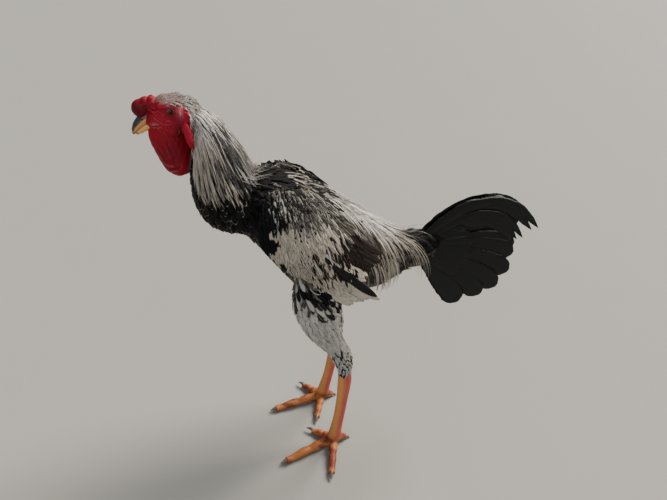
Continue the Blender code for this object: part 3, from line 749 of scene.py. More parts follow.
THIGH = (
    (-.020, -.048, .385, .040, .030), (-.025, -.053, .350, .043, .034), (-.023, -.056, .320, .040, .032),
    (-.016, -.057, .292, .0345, .028), (-.005, -.057, .264, .027, .023), (.007, -.056, .240, .0225, .0195),
    (.015, -.055, .218, .0215, .018), (.020, -.054, .196, .0165, .015), (.0205, -.054, .174, .013, .012))
SHANK = (
    (.0195, -.054, .194, .010, .009), (.020, -.054, .164, .0122, .0098), (.0165, -.0535, .120, .0105, .0088),
    (.0105, -.053, .070, .010, .0086), (.0055, -.053, .040, .0108, .010), (.002, -.053, .016, .013, .0125),
    (.001, -.053, .0105, .011, .011))
FAR_LEG = .0135
HIP_HEIGHT = .5
BALL_OF_FOOT = (.001, .053)
HOCK = .180
HOCK_RISE = .020
HOCK_REAR = (.012, .034)
HOCK_RAG = .0035


def above_hock(points: np.ndarray) -> np.ndarray:
    """Return heights above the lowest feathers, whose ragged edge rises behind the shank."""
    rise = HOCK_RISE * smooth(*HOCK_REAR, points[..., 0])
    return points[..., 2] - HOCK - rise - HOCK_RAG * ripple(points, .012, 14)


def far_side(rows: np.ndarray) -> np.ndarray:
    """Carry limb rows to the right leg, which stands a little further back.

    Args:
        rows: rows that start with x, y, z.

    Returns:
        The right leg's rows.
    """
    moved = np.array(rows, float)
    moved[..., 0] += FAR_LEG * np.sin(np.pi * moved[..., 2] / HIP_HEIGHT)
    moved[..., 1] *= -1
    return moved


@dataclass(frozen=True)
class WingChart:
    """The folded wing's outer face: u runs back and down along the quills, v towards the back."""

    start: Triple = (-.089, 0, .519)
    line: Triple = (.682, 0, -.731)
    down: Triple = (-.731, 0, -.682)
    reach: float = .082
    centre: float = .025

    def point(self, u: np.ndarray, v: np.ndarray, out: np.ndarray | float, side: int) -> np.ndarray:
        """Find points on the wing.

        Args:
            u: distance along the quills.
            v: distance down across them.
            out: height above the face.
            side: minus one for the left wing, one for the right.

        Returns:
            Points x, y, z.
        """
        u, v = np.asarray(u, float), np.asarray(v, float)
        spread = 5.3 - 1.3 * np.clip((u - .04) / .16, 0, 1)
        bulge = self.reach - spread * (v - self.centre) ** 2 - 9 * np.maximum(0, .04 - u) ** 2
        flat = np.array(self.start) + u[..., None] * self.line + v[..., None] * self.down
        flat[..., 1] = side * (bulge + out)
        return flat


@dataclass(frozen=True)
class TailChart:
    """The folded tail's face: u runs back and v up from the root."""

    root: Triple = (.135, 0, .380)
    base: float = .004
    flare: float = .150
    slope: float = .51

    def point(self, u: np.ndarray, v: np.ndarray, out: np.ndarray | float, side: int) -> np.ndarray:
        """Find points on the tail.

        Args:
            u: distance back from the root.
            v: distance up from it.
            out: height above the face.
            side: minus one for the left face, one for the right.

        Returns:
            Points x, y, z.
        """
        u, v = np.asarray(u, float), np.asarray(v, float)
        wide = self.base + self.flare * np.maximum(0, self.slope * np.maximum(u, 0) - v) + out
        x, z = self.root[0] + u, self.root[2] + v
        return np.stack([x, side * wide, z * np.ones_like(x)], -1)


WING = WingChart()
TAIL = TailChart()
WING_RIM = (
    (-.004, .004), (.006, .028), (.026, .044), (.052, .049), (.080, .046), (.112, .040), (.140, .030),
    (.152, .010), (.150, -.014), (.130, -.036), (.104, -.047), (.074, -.052), (.044, -.050), (.020, -.042),
    (.004, -.026), (-.005, -.010))


@dataclass(frozen=True)
class Foot:
    """One foot's toes as lines from the ball to the nails' tips."""

    side: int
    middle: Triple
    outer: Triple
    inner: Triple
    thick: Triple = (.0092, .0084, .0080)
    lifts: Triple = (.004, .004, .003)
    hallux_tip: Triple = (.033, .053, -.0002)
    hallux_thick: float = .0072
    claw: float = .0165
    hallux_claw: float = .0110

    def lines(self) -> dict[str, tuple[np.ndarray, np.ndarray]]:
        """Work out the rows of every toe and of its claw.

        Returns:
            By toe name, the toe's rows and the claw's rows: x, y, z and two half widths.
        """
        fore, aside = BALL_OF_FOOT
        hub = np.array((fore, self.side * aside, 0))
        toes = {}
        tips = {"middle": self.middle, "outer": self.outer, "inner": self.inner}
        for (name, tip), thick, lift in zip(tips.items(), self.thick, self.lifts):
            toes[name] = self.toe(hub, np.array(tip), thick, lift, self.claw)
        tip = np.array(self.hallux_tip) * (1, self.side, 1)
        rows, nail = self.toe(hub, tip, self.hallux_thick, .004, self.hallux_claw)
        rows[:, 2] += np.linspace(.010, .002, len(rows))
        toes["hallux"] = rows, nail
        return toes

    @staticmethod
    def toe(hub: np.ndarray, tip: np.ndarray, thick: float, lift: float,
            nail_length: float) -> tuple[np.ndarray, np.ndarray]:
        """Work out one toe and its claw.

        Args:
            hub: the ball of the foot.
            tip: the claw's tip.
            thick: the toe's half width at its root.
            lift: how far its knuckles rise.
            nail_length: length of the claw.

        Returns:
            Rows of the toe and rows of the claw.
        """
        way = (tip - hub) * (1, 1, 0)
        length = np.linalg.norm(way)
        way /= length
        toe_length = length - nail_length * .82
        count, claw_count, flatness = 9, 7, .92
        t = np.linspace(0, 1, count)
        pads = 1 + .10 * np.cos(t * TAU * 3) * smooth(.05, .2, t)
        size = thick * (1.04 - .34 * t) * pads
        rows = np.zeros((count, 5))
        rows[:, :3] = hub + way * (t * toe_length)[:, None]
        rows[:, 2] = size * flatness + lift * np.sin(np.pi * t) * .5
        rows[:, 3] = size * flatness
        rows[:, 4] = size
        s = np.linspace(0, 1, claw_count)
        root = rows[-1, :3] - way * .004
        nail = np.zeros((claw_count, 5))
        nail[:, :3] = root + (tip - root) * s[:, None]
        nail[:, 2] += .0034 * np.sin(np.pi * s ** .8)
        nail[:, 3] = .0042 * (1 - s) ** .75 + .0005
        nail[:, 4] = .0033 * (1 - s) ** .75 + .0005
        return rows, nail


LEFT_FOOT = Foot(-1, (-.1065, -.080, .0024), (-.0235, -.1325, .0024), (-.045, -.016, .006))
RIGHT_FOOT = Foot(1, (-.108, .042, .0024), (-.039, .101, .006), (-.0245, -.0095, .0024))


# Skin

@dataclass(frozen=True)
class Crease:
    """A fold of skin pressed along a line on both sides of the head."""

    line: tuple[tuple[float, float], ...]
    depth: float = .0009
    width: float = .0007
    swell: float = .8
    steps: int = 24
    midline: Span = (.003, .008)

    def press(self, points: np.ndarray) -> np.ndarray:
        """Work out how far the skin moves.

        Args:
            points: the skin's points.

        Returns:
            Movement along the normal of each point, outwards above nought.
        """
        line = along(np.array(self.line), np.linspace(0, 1, self.steps))
        flat = points[:, (0, 2)]
        apart = np.linalg.norm(flat[:, None] - line[None], axis=2)
        place = apart.argmin(1)
        gap = apart[np.arange(len(points)), place]
        end = np.sin(np.pi * (place + .5) / self.steps) ** .5
        patchy = np.clip(.6 + .6 * ripple(points, .0075, 13), 0, 1)
        fade = end * smooth(*self.midline, np.abs(points[:, 1])) * patchy
        groove = np.exp(-(gap / self.width) ** 2)
        banks = np.exp(-((gap - 2 * self.width) / self.width) ** 2)
        return fade * self.depth * (self.swell * banks - groove)


@dataclass(frozen=True)
class Crinkle:
    """Fine uneven relief of skin or horn."""

    depth: float
    wavelength: float
    seed: int
    stretch: Triple = (1, 1, 1)

    def press(self, points: np.ndarray, share: float | np.ndarray = 1) -> np.ndarray:
        """Return how far points move along their normals, where each takes its share."""
        return share * self.depth * ripple(points * self.stretch, self.wavelength, self.seed)


@dataclass(frozen=True)
class SkinPatch:
    """A patch of colour on the skin, the same on both sides; on the face some are painted shade and painted
    highlight.
    """

    colour: str
    place: Triple
    radii: Triple
    strength: float = 1

    def share(self, points: np.ndarray) -> np.ndarray:
        """Work out how much of the patch each point takes.

        Args:
            points: the skin's points.

        Returns:
            Shares from nought to one.
        """
        mirrored = points * (1, 0, 1) + np.abs(points) * (0, 1, 0)
        gap = (mirrored - np.array(self.place)) / np.array(self.radii)
        return self.strength * np.exp(-(gap ** 2).sum(1))


def toned(points: np.ndarray, ground: str, patches: tuple[SkinPatch, ...]) -> np.ndarray:
    """Lay patches of tone over a ground colour.

    Args:
        points: places that take a tone.
        ground: hex colour where there is no patch.
        patches: patches, laid in order.

    Returns:
        Linear colours, four numbers each.
    """
    tone = np.tile(linear(ground), (len(points), 1))
    for patch in patches:
        tone = mixed(tone, linear(patch.colour), patch.share(points))
    return tone


@dataclass(frozen=True)
class Lump:
    """One rounded form under the skin: its middle, its half lengths, and how far its front end dips."""

    centre: Triple
    radii: Triple
    pitch: float = 0

    def shape(self) -> Shape:
        """Return the form as a closed ellipsoid."""
        return ball(self.centre, self.radii, self.pitch)


def gathered(*lumps: Lump) -> Shape:
    """Return several rounded forms side by side in one shape."""
    return sum((lump.shape() for lump in lumps[1:]), lumps[0].shape())


@dataclass(frozen=True)
class Head:
    """The bare head: skull, brow, lids, comb, ear lobes and dewlap."""

    cell: float = .00068
    skull: Lump = Lump((-.186, 0, .6268), (.0315, .022, .0178), 8)
    forehead: Lump = Lump((-.1945, 0, .6362), (.0135, .0150, .0108), 6)
    rear_jaw: Lump = Lump((-.172, 0, .6165), (.018, .020, .020), 50)
    nape: Lump = Lump((-.1600, 0, .6140), (.0150, .0175, .0150), 40)
    beak_root: Lump = Lump((-.203, 0, .6215), (.0185, .015, .016), 34)
    jaw: Lump = Lump((-.201, 0, .6105), (.019, .0125, .012), 30)
    brow: Lump = Lump((-.1895, -.015, .639), (.014, .0065, .0048), 12)
    cheek: Lump = Lump((-.187, -.012, .615), (.021, .010, .015), 20)
    ear: Lump = Lump((-.170, -.0205, .6235), (.005, .003, .0065))
    comb_front: Lump = Lump((-.2219, 0, .6328), (.0110, .0102, .0112), 30)
    comb_rear: Lump = Lump((-.2090, 0, .6362), (.0090, .0100, .0104), -8)
    comb_ridge: Lump = Lump((-.2160, 0, .6378), (.0078, .0088, .0086))
    knobs: tuple[Triple, ...] = ((-.2250, .6398, .0038), (-.2165, .6436, .0036), (-.2092, .6452, .0034))
    knob_aside: float = .0042
    knob_sink: float = .0012
    knob_height: float = .8
    knob_pitch: float = 20
    eye: Triple = (-.1877, -.0145, .6317)
    eye_radius: float = .0062
    eye_play: float = .00015
    eye_ring: float = .0064
    eye_ring_pitch: float = .0017
    eye_ring_depth: float = .00012
    eye_ring_in: Span = (.0060, .0070)
    eye_ring_out: Span = (.0090, .0115)
    eye_side: Span = (.010, .014)
    face_front: Span = (-.212, -.200)
    face_foot: Span = (.585, .600)
    face_top: Span = (.634, .642)
    crest_foot: Span = (.632, .638)
    crest_end: Span = (-.203, -.196)
    front_lobe: Span = (-.222, -.217)
    front_lobe_foot: Span = (.620, .626)
    dewlap_top: Span = (.590, .602)
    dewlap_side: Span = (.018, .022)
    face_crinkle: Crinkle = Crinkle(.00022, .0034, 3, (1.5, 1, .8))
    comb_crinkle: Crinkle = Crinkle(.00020, .0044, 5)
    dewlap_crinkle: Crinkle = Crinkle(.00030, .0060, 7, (1, 1, .35))
    opening: Triple = (.0044, .0040, .0037)
    lid: Span = (.0054, .0047)
    lid_place: float = -.0196
    lid_thick: float = .0013
    lid_thicker_above: float = .0004
    lid_bow: float = .0012
    dome: float = .0006
    dome_spread: float = .50
    eye_rim: float = .98
    upper_beak: Rows = (
        (-.213, 0, .626, .0065, .009), (-.222, 0, .620, .0068, .0078), (-.2295, 0, .614, .0056, .0058),
        (-.2345, 0, .6078, .0035, .0036), (-.2366, 0, .6026, .0012, .0012))
    lower_beak: Rows = (
        (-.211, 0, .6155, .0050, .0078), (-.221, 0, .6102, .0046, .0060), (-.2285, 0, .6058, .0036, .0043),
        (-.2330, 0, .6025, .0014, .0018))
    lobe: Rows = (
        (-.1735, -.021, .619, .0026, .0026), (-.173, -.0232, .613, .0042, .0034),
        (-.1722, -.0242, .604, .0044, .0036), (-.1712, -.0244, .595, .004, .0034),
        (-.1702, -.024, .5875, .002, .0018))
    dewlap: Rows = (
        (-.1975, 0, .611, .0205, .0115), (-.1975, 0, .599, .0228, .014), (-.195, 0, .584, .022, .0145),
        (-.1915, 0, .568, .0205, .0135), (-.1885, 0, .555, .017, .0115), (-.1865, 0, .546, .0095, .007))

    def creases(self) -> tuple[Crease, ...]:
        """Return the folds of the face."""
        fan = tuple(
            Crease(((-.2030 + .0040 * i, .6130 + .0006 * i), (-.2010 + .0044 * i, .6060),
                    (-.1975 + .0040 * i, .5960 + .0010 * i)), .0006 - .0001 * i, .0006)
            for i in range(4))
        behind = tuple(
            Crease(((-.1800 + .0028 * i, .6390 - .001 * i), (-.1790 + .0030 * i, .6300),
                    (-.1800 + .0030 * i, .6200)), .00055, .0006)
            for i in range(2))
        throat = (Crease(((-.2130, .588), (-.2085, .578), (-.2040, .566)), .0006, .0014, .4),
                  Crease(((-.1990, .592), (-.1960, .578), (-.1950, .562)), .0005, .0016, .4),
                  Crease(((-.2110, .5625), (-.2020, .5570), (-.1900, .5590)), .0012, .0018, .5))
        return fan + behind + throat + (
            Crease(((-.2180, .6168), (-.2120, .6138), (-.2060, .6142), (-.2020, .6165)), .0012, .0008, .9),
            Crease(((-.2075, .6275), (-.2030, .6225), (-.1970, .6190), (-.1900, .6195)), .0009, .0008, .8),
            Crease(((-.1995, .6305), (-.1960, .6250), (-.1900, .6228), (-.1830, .6250)), .0006, .0006, .8),
            Crease(((-.1990, .6360), (-.1930, .6395), (-.1860, .6395), (-.1800, .6365)), .0006, .0007, .8),
            Crease(((-.2140, .6350), (-.2070, .6330), (-.2020, .6350)), .0007, .0009, .6),
            Crease(((-.1790, .6160), (-.1800, .6060), (-.1840, .5980)), .0008, .0009, .6),
            Crease(((-.2110, .6230), (-.2080, .6180), (-.2065, .6150)), .0006, .0006, .7))

    def comb(self) -> Shape:
        """Return the comb's cushion: a round front lobe, a ridge behind it and low knobs along the crest."""
        cushion = gathered(self.comb_front, self.comb_rear, self.comb_ridge)
        for fore, high, size in self.knobs:
            for side in (-1, 1):
                place = fore, side * self.knob_aside, high - self.knob_sink
                cushion += ball(place, (size, size, size * self.knob_height), self.knob_pitch, rings=10)
        return cushion

    def shape(self) -> Shape:
        """Return every form of the head, overlapping."""
        parts = gathered(self.skull, self.forehead, self.rear_jaw, self.nape, self.beak_root, self.jaw)
        parts += self.comb() + band_tube(np.array(self.dewlap), 30, 40)
        half = gathered(self.brow, self.cheek, self.ear)
        half += band_tube(np.array(self.lobe), 16, 20)
        half += self.lid_ring()
        return parts + half + half.mirrored()

    def lid_ring(self) -> Shape:
        """Return the rim of both lids, thicker above, with a corner behind."""
        count, size = 48, 12
        turn = np.linspace(0, TAU, count, endpoint=False)
        small = np.linspace(0, TAU, size, endpoint=False)
        wide, tall = self.lid
        thick = self.lid_thick + self.lid_thicker_above * np.sin(turn)
        corner = 1 + .16 * np.exp(-(np.minimum(turn, TAU - turn) / .45) ** 2)
        depth = self.lid_place + self.lid_bow * np.cos(turn) ** 2
        fore, high = wide * corner * np.cos(turn), tall * np.sin(turn)
        middle = np.stack([self.eye[0] + fore, depth, self.eye[2] + high], -1)
        outward = unit(middle - np.array(self.eye) * (1, 0, 1) - np.array((0, self.lid_place, 0)))
        front = np.array((0., -1., 0.))
        points = (middle[:, None] + outward[:, None] * (thick[:, None] * np.cos(small))[..., None]
                  + front * (thick[:, None] * np.sin(small))[..., None])
        faces = []
        for i in range(count):
            for j in range(size):
                k, m = (i + 1) % count * size, (j + 1) % size
                faces.append((i * size + j, k + j, k + m, i * size + m))
        return Shape(points.reshape(-1, 3), faces)

    def relief(self, points: np.ndarray) -> np.ndarray:
        """Work out the folds, crinkles and rings of the bare skin.

        Args:
            points: the head's points.

        Returns:
            Movement of each point along its normal.
        """
        x, z, side = points[:, 0], points[:, 2], np.abs(points[:, 1])
        move = sum(crease.press(points) for crease in self.creases())
        face = smooth(*self.face_front, x) * smooth(*self.face_foot, z) * (1 - smooth(*self.face_top, z))
        move += self.face_crinkle.press(points, face)
        crest = smooth(*self.crest_foot, z) * (1 - smooth(*self.crest_end, x))
        front_lobe = (1 - smooth(*self.front_lobe, x)) * smooth(*self.front_lobe_foot, z)
        move += self.comb_crinkle.press(points, np.maximum(crest, front_lobe))
        hang = (1 - smooth(*self.dewlap_top, z)) * (1 - smooth(*self.dewlap_side, side))
        move += self.dewlap_crinkle.press(points, hang)
        around_eye = np.linalg.norm((points - np.array(self.eye) * (1, 0, 1))[:, (0, 2)], axis=1)
        rings = np.sin((around_eye - self.eye_ring) / self.eye_ring_pitch * TAU)
        rings = rings * smooth(*self.eye_ring_in, around_eye)
        patchy = .5 + .5 * ripple(points, .005, 17)
        rings_end = 1 - smooth(*self.eye_ring_out, around_eye)
        move += self.eye_ring_depth * patchy * rings * rings_end * smooth(*self.eye_side, side)
        return move

    def build(self) -> bpy.types.Object:
        """Melt, fold and open the head.

        Returns:
            The head's object.
        """
        made = melted("head_skin", self.shape(), self.cell, 3)
        points, lift = vectors_of(made.data), vectors_of(made.data, "normal")
        put_points(made.data, points + lift * self.relief(points)[:, None])
        for sign in (1, -1):
            x, y, z = self.eye
            hole = ball((x, sign * y, z), (self.eye_radius + self.eye_play,) * 3, rings=30)
            window = ball((x, sign * (y - self.eye_radius), z), self.opening, rings=24)
            for name, cutter in (("socket", hole), ("window", window)):
                joined(made, new_object(name, cutter.mesh(name)), "DIFFERENCE")
        return made

    def eyeball(self, side: int) -> bpy.types.Object:
        """Build one eye.

        Args:
            side: minus one for the left eye, one for the right.

        Returns:
            The eye's object.
        """
        rings, size = 44, 48
        polar = np.linspace(.01, math.pi - .01, rings)[:, None]
        turn = np.linspace(0, TAU, size, endpoint=False)[None]
        dome = self.dome * np.exp(-(polar / self.dome_spread) ** 2)
        radius = self.eye_radius - .0004 + dome
        out = radius * np.cos(polar) * np.ones_like(turn)
        fore = radius * np.sin(polar) * np.cos(turn)
        high = radius * np.sin(polar) * np.sin(turn)
        x, y, z = self.eye
        grid = np.stack([x + fore, side * (-y + out), z + high], -1)
        made = new_object(f"eyeball_{'left' if side < 0 else 'right'}", loft(grid).mesh("eyeball"))
        around = vectors_of(made.data) - np.array((x, -side * y, z))
        away = np.arctan2(np.linalg.norm(around[:, (0, 2)], axis=1), side * around[:, 1])
        store(made.data, "radial", np.clip(away / self.eye_rim, 0, 1))
        return finished(made, EyeFinish().material())


# Tones of the bare face; a few patches below are painted shade and painted highlight.
FACE_TONES_AND_PAINTED_LIGHT = (
    SkinPatch("4e000c", (-.178, .018, .608), (.011, .012, .020), .85),
    SkinPatch("96082a", (-.200, .016, .622), (.008, .010, .007), .5),
    SkinPatch("a8405a", (-.183, .018, .640), (.012, .012, .005), .6),
    SkinPatch("a83c50", (-.178, .020, .630), (.005, .010, .008), .5),
    SkinPatch("6c0414", (-.2095, .000, .640), (.006, .014, .012), .9),
    # Painted shade: the comb's front lobe, darkened nearly to black.
    SkinPatch("200004", (-.2240, .000, .633), (.012, .018, .013), 1.),
    SkinPatch("5a000c", (-.195, .000, .575), (.034, .030, .026), .95),
    SkinPatch("a01630", (-.172, .024, .603), (.006, .005, .018), .9),
    SkinPatch("3a060c", (-.1877, .022, .6317), (.0060, .010, .0054), .8),
    # Painted highlight: pale pink strokes along the mouth crease and on the folds behind the eye.
    SkinPatch("c07a78", (-.2085, .012, .6165), (.004, .010, .002), .35),
    SkinPatch("c08880", (-.1765, .020, .630), (.0020, .010, .006), .45))


FACE_EDGE = ((.535, -.182), (.555, -.180), (.576, -.173), (.586, -.1655), (.600, -.1640), (.612, -.1650),
             (.627, -.1664), (.6434, -.1773))
CROWN_FRONT = -.2035
CROWN_EDGE = .6408


def feathered(points: np.ndarray) -> np.ndarray:
    """Tell how far places on head and neck lie inside the feathers' edge.

    Args:
        points: places on the skin.

    Returns:
        Distances, above nought where feathers grow.
    """
    heights, fronts = np.array(FACE_EDGE).T
    behind = points[:, 0] - np.interp(points[:, 2], heights, fronts)
    above = np.minimum(points[:, 2] - CROWN_EDGE, points[:, 0] - CROWN_FRONT)
    return np.maximum(behind, above)


@dataclass(frozen=True)
class Skin:
    """The whole bird's skin in one piece, inside its solids by the depth of its coat."""

    trunk_inset: float = .0085
    neck_inset: float = .0060
    rump_inset: float = .0090
    thigh_inset: float = .0075
    wing_inset: float = .0060
    wing_back: float = .045
    wing_rim: int = 48
    wing_round: float = .006
    wing_face: tuple[float, ...] = (.02, .3, .55, .78, .92)
    wing_inside: tuple[float, ...] = (.92, .5, .02)
    hock_inset: float = .0025
    thigh_end: Span = (.17, .26)
    body_cell: float = .0042
    leg_cell: float = .00125
    scute: float = .0062
    toe_scute: float = .0042
    plate_face: Span = (-.1, .45)
    plate_bow: float = .0012
    plate_tilt: float = .00045
    groove: float = .0007
    groove_share: float = .10
    small_scales: Crinkle = Crinkle(.00014, .0030, 11)
    feather_edge: Span = (-.0015, .0025)
    throat: Span = (.535, .545)
    scale_edge: Span = (-.003, .002)
    shank_front: Span = (-.2, .6)
    toe_top: Span = (.018, .032)
    toe_blotch: Span = (-.1, .5)
    toe_plates: Span = (.2, .7)
    shank_plates: Span = (-.1, .4)
    joint_share: float = .13
    joint_shade: float = .30
    # Painted highlight on the banks of the face's folds and painted shade in their bottoms: the share of
    # each, and the fold relief at which each is full.
    bank_highlight: float = .30
    bank_height: float = .0007
    fold: float = .55
    fold_depth: float = .0008

    def wing_pad(self, side: int) -> Shape:
        """Build the flesh of one wing.

        Args:
            side: minus one for the left wing.

        Returns:
            The closed pad.
        """
        rim = along(np.array(WING_RIM + WING_RIM[:1]), np.linspace(0, 1, self.wing_rim + 1))[:-1]
        middle = rim.mean(0)
        rings = []
        for scale in self.wing_face:
            spot = middle + (rim - middle) * scale
            depth = self.wing_inset + self.wing_round * scale ** 4
            rings.append(WING.point(spot[:, 0], spot[:, 1], -depth, side))
        for scale in self.wing_inside:
            spot = middle + (rim - middle) * scale
            ring = WING.point(spot[:, 0], spot[:, 1], 0, side)
            ring[:, 1] = side * self.wing_back
            rings.append(ring)
        return loft(np.array(rings))

    def body(self) -> bpy.types.Object:
        """Build trunk, neck, wings and thighs.

        Returns:
            The body's object.
        """
        shape = TORSO.shape(self.trunk_inset) + NECK.shape(self.neck_inset, 30, 32)
        shape += RUMP.shape(self.rump_inset * .5, 24, 24)
        for side in (-1, 1):
            shape += self.wing_pad(side)
        near = np.array(THIGH)
        above = smooth(*self.thigh_end, near[:, 2:3])
        near[:, 3:] -= self.thigh_inset * above
        near[:, 3:] -= self.hock_inset * (1 - above)
        shape += band_tube(near, 30, 32) + band_tube(far_side(near), 30, 32)
        return melted("body_skin", shape, self.body_cell, 4)

    def leg(self, foot: Foot) -> bpy.types.Object:
        """Build one bare shank with its toes, and press its scutes.

        Args:
            foot: the foot at its end.

        Returns:
            The leg's object.
        """
        rows = np.array(SHANK) if foot.side < 0 else far_side(SHANK)
        shape = band_tube(rows, 40, 24)
        lines = [(rows[:, :3], self.scute)]
        for toe, _ in foot.lines().values():
            shape += band_tube(toe, 24, 20)
            lines.append((toe[:, :3], self.toe_scute))
        made = melted("leg_skin", shape, self.leg_cell, 2)
        points, lift = vectors_of(made.data), vectors_of(made.data, "normal")
        move = np.zeros(len(points))
        best = np.full(len(points), np.inf)
        for number, (line, pitch) in enumerate(lines):
            path = along(line, np.linspace(0, 1, 80))
            run = np.concatenate([[0], np.linalg.norm(np.diff(path, axis=0), axis=1).cumsum()])
            apart = np.linalg.norm(points[:, None] - path[None], axis=2)
            near = apart.argmin(1)
            gap = apart[np.arange(len(points)), near]
            face = -lift[:, 0] if number == 0 else lift[:, 2]
            plates = smooth(*self.plate_face, face)
            way = unit(np.gradient(path, axis=0))
            slip = ((points - path[near]) * way[near]).sum(1)
            phase = (run[near] + slip + self.plate_bow * np.abs(lift[:, 1])) / pitch % 1
            groove = self.groove * np.exp(-(np.minimum(phase, 1 - phase) / self.groove_share) ** 2)
            step = self.plate_tilt * (phase - .5) - groove
            here = gap < best
            move = np.where(here, plates * step + (1 - plates) * self.small_scales.press(points), move)
            best = np.where(here, gap, best)
        points = points + lift * move[:, None]
        points[:, 2] = np.maximum(points[:, 2], 0)
        put_points(made.data, points)
        return made

    def build(self, head: Head) -> tuple[bpy.types.Object, bpy.types.Object]:
        """Join every part into one skin and dress it.

        Args:
            head: the bird's head.

        Returns:
            The skin, and the body alone, which the coat grows on.
        """
        body = self.body()
        bed = new_object("bed", body.data.copy())
        whole = joined(head.build(), body)
        for foot in (LEFT_FOOT, RIGHT_FOOT):
            whole = joined(whole, self.leg(foot))
        whole.name = "skin"
        self.dress(whole)
        return whole, bed

    def fold_shade_and_highlight(self, points: np.ndarray, tone: np.ndarray) -> np.ndarray:
        """Paint shade into the bottoms of the face's folds and a pale highlight on their banks.

        Args:
            points: the skin's points.
            tone: colours before the folds.

        Returns:
            Colours with painted shade in the folds and painted highlight on their banks.
        """
        fold = sum(crease.press(points) for crease in Head().creases())
        # Painted highlight where a fold's bank rises, painted shade where its bottom sinks.
        bank_highlight = self.bank_highlight * np.clip(fold / self.bank_height, 0, 1)
        floor = self.fold * np.clip(-fold / self.fold_depth, 0, 1)
        return mixed(tone, linear(FOLD_HIGHLIGHT), bank_highlight) * (1 - floor[:, None])

    def leg_tone(self, points: np.ndarray, lift: np.ndarray) -> np.ndarray:
        """Colour the scales: yellow before and pink beside the shank, blotched orange on the toes.

        Args:
            points: the skin's points.
            lift: their normals.

        Returns:
            Linear colours, four numbers each.
        """
        height = points[:, 2]
        shank = mixed(linear(SHANK_SIDE), linear(SHANK_FRONT), smooth(*self.shank_front, -lift[:, 0]))
        blotch = smooth(*self.toe_blotch, ripple(points, .022, 21))
        on_toe = 1 - smooth(*self.toe_top, height)
        scale = mixed(shank, mixed(linear(TOE_LIGHT), linear(TOE_DARK), blotch), on_toe)
        toe = on_toe > .5
        fore, aside = BALL_OF_FOOT
        from_ball = np.stack([points[:, 0] - fore, np.abs(points[:, 1]) - aside], 1)
        run = np.where(toe, np.linalg.norm(from_ball, axis=1) / self.toe_scute, height / self.scute)
        joint = np.exp(-(np.abs((run % 1) - .5) / self.joint_share) ** 2)
        seen = np.where(toe, smooth(*self.toe_plates, lift[:, 2]), smooth(*self.shank_plates, -lift[:, 0]))
        return scale * (1 - (self.joint_shade * joint * seen)[:, None])

    def dress(self, made: bpy.types.Object) -> None:
        """Give each stretch of skin its finish and tones.

        Args:
            made: the skin's object.
        """
        mesh = made.data
        points, lift = vectors_of(mesh), vectors_of(mesh, "normal")
        bare = (1 - smooth(*self.feather_edge, feathered(points))) * smooth(*self.throat, points[:, 2])
        leg = 1 - smooth(*self.scale_edge, above_hock(points))
        face = self.fold_shade_and_highlight(points, toned(points, FACE_SKIN, FACE_TONES_AND_PAINTED_LIGHT))
        tone = mixed(toned(points, TRUNK_SKIN, COAT_GROUND), face, bare)
        store(mesh, "tone", mixed(tone, self.leg_tone(points, lift), leg))
        # Joining leaves an empty slot, which would shift every finish by one.
        mesh.materials.clear()
        for finish in (DOWNY_SKIN, BARE_SKIN, LEG_SCALE):
            mesh.materials.append(finish.material())
        ends = np.empty(len(mesh.loops), np.int32)
        mesh.loops.foreach_get("vertex_index", ends)
        starts = np.empty(len(mesh.polygons), np.int32)
        mesh.polygons.foreach_get("loop_start", starts)
        first = ends[starts]
        index = np.where(leg[first] > .5, 2, np.where(bare[first] > .5, 1, 0))
        mesh.polygons.foreach_set("material_index", index.astype(np.int32))
        mesh.shade_smooth()


# The third colour is the pale pink of the painted highlight on the face's fold banks.
TRUNK_SKIN, FACE_SKIN, FOLD_HIGHLIGHT = "5d5750", "860019", "b86a74"
SHANK_FRONT, SHANK_SIDE, TOE_LIGHT, TOE_DARK = "b97e45", "a2493f", "90562a", "6e3320"
COAT_GROUND = (
    SkinPatch("15130f", (-.090, .050, .450), (.050, .060, .070), .9),
    SkinPatch("5f594d", (-.050, .080, .450), (.050, .030, .080), .8),
    SkinPatch("57534b", (-.120, .030, .560), (.040, .050, .050), .9),
    SkinPatch("70403a", (-.184, .000, .645), (.024, .022, .012), .9),
    SkinPatch("6b675f", (-.020, .055, .300), (.050, .050, .080), .9))


# Feathers

class Tip(Enum):
    """How a vane ends."""

    ROUND = "round"
    POINTED = "pointed"
    WISP = "wisp"
    FAN = "fan"

    def width(self, a: np.ndarray) -> np.ndarray:
        """Give the vane's share of its full width.

        Args:
            a: places along the feather, nought to one.

        Returns:
            Widths from nought to one.
        """
        if self is Tip.ROUND:
            body = .42 + .58 * smooth(0, .45, a)
            return body * np.sqrt(np.clip(1 - np.maximum(0, (a - .62) / .385) ** 2.4, .004, 1))
        if self is Tip.POINTED:
            return (.55 + .45 * smooth(0, .3, a)) * np.clip(1 - a ** 2.6, .012, 1)
        if self is Tip.FAN:
            broad = .22 + .78 * smooth(.05, .72, a)
            return broad * np.sqrt(np.clip(1 - np.maximum(0, (a - .82) / .183) ** 2.2, .004, 1))
        return (.6 + .4 * smooth(0, .2, a)) * np.clip(1 - a, .03, 1) ** .6


class Pattern(Enum):
    """Markings of a feather: width of its shaft streak, of its rim lacing, and share of mottling."""

    PLAIN = (0., 0., 0.)
    STREAKED = (.34, 0., 0.)
    FINE_STREAK = (.18, 0., 0.)
    LACED = (0., .11, 0.)
    EDGED = (0., .26, 0.)
    MOTTLED = (0., 0., .46)
    PEPPERED = (.0, .0, .36)
    BLOTCHED = (.45, 0., .42)


@dataclass(frozen=True)
class Look:
    """Colours and markings that feathers have round one place, the same on both sides."""

    place: Triple
    radius: float
    ground: str
    mark: str
    pattern: Pattern
    strength: float = 1


@dataclass(frozen=True)
class Zone:
    """How contour feathers grow round one place, the same on both sides."""

    place: Triple
    radius: float
    lie: Triple
    length: float
    width: float
    gap: float
    slope: float = .11


def folded(points: np.ndarray) -> np.ndarray:
    """Return the points with the left side's carried to the right."""
    return np.stack([points[..., 0], np.abs(points[..., 1]), points[..., 2]], -1)


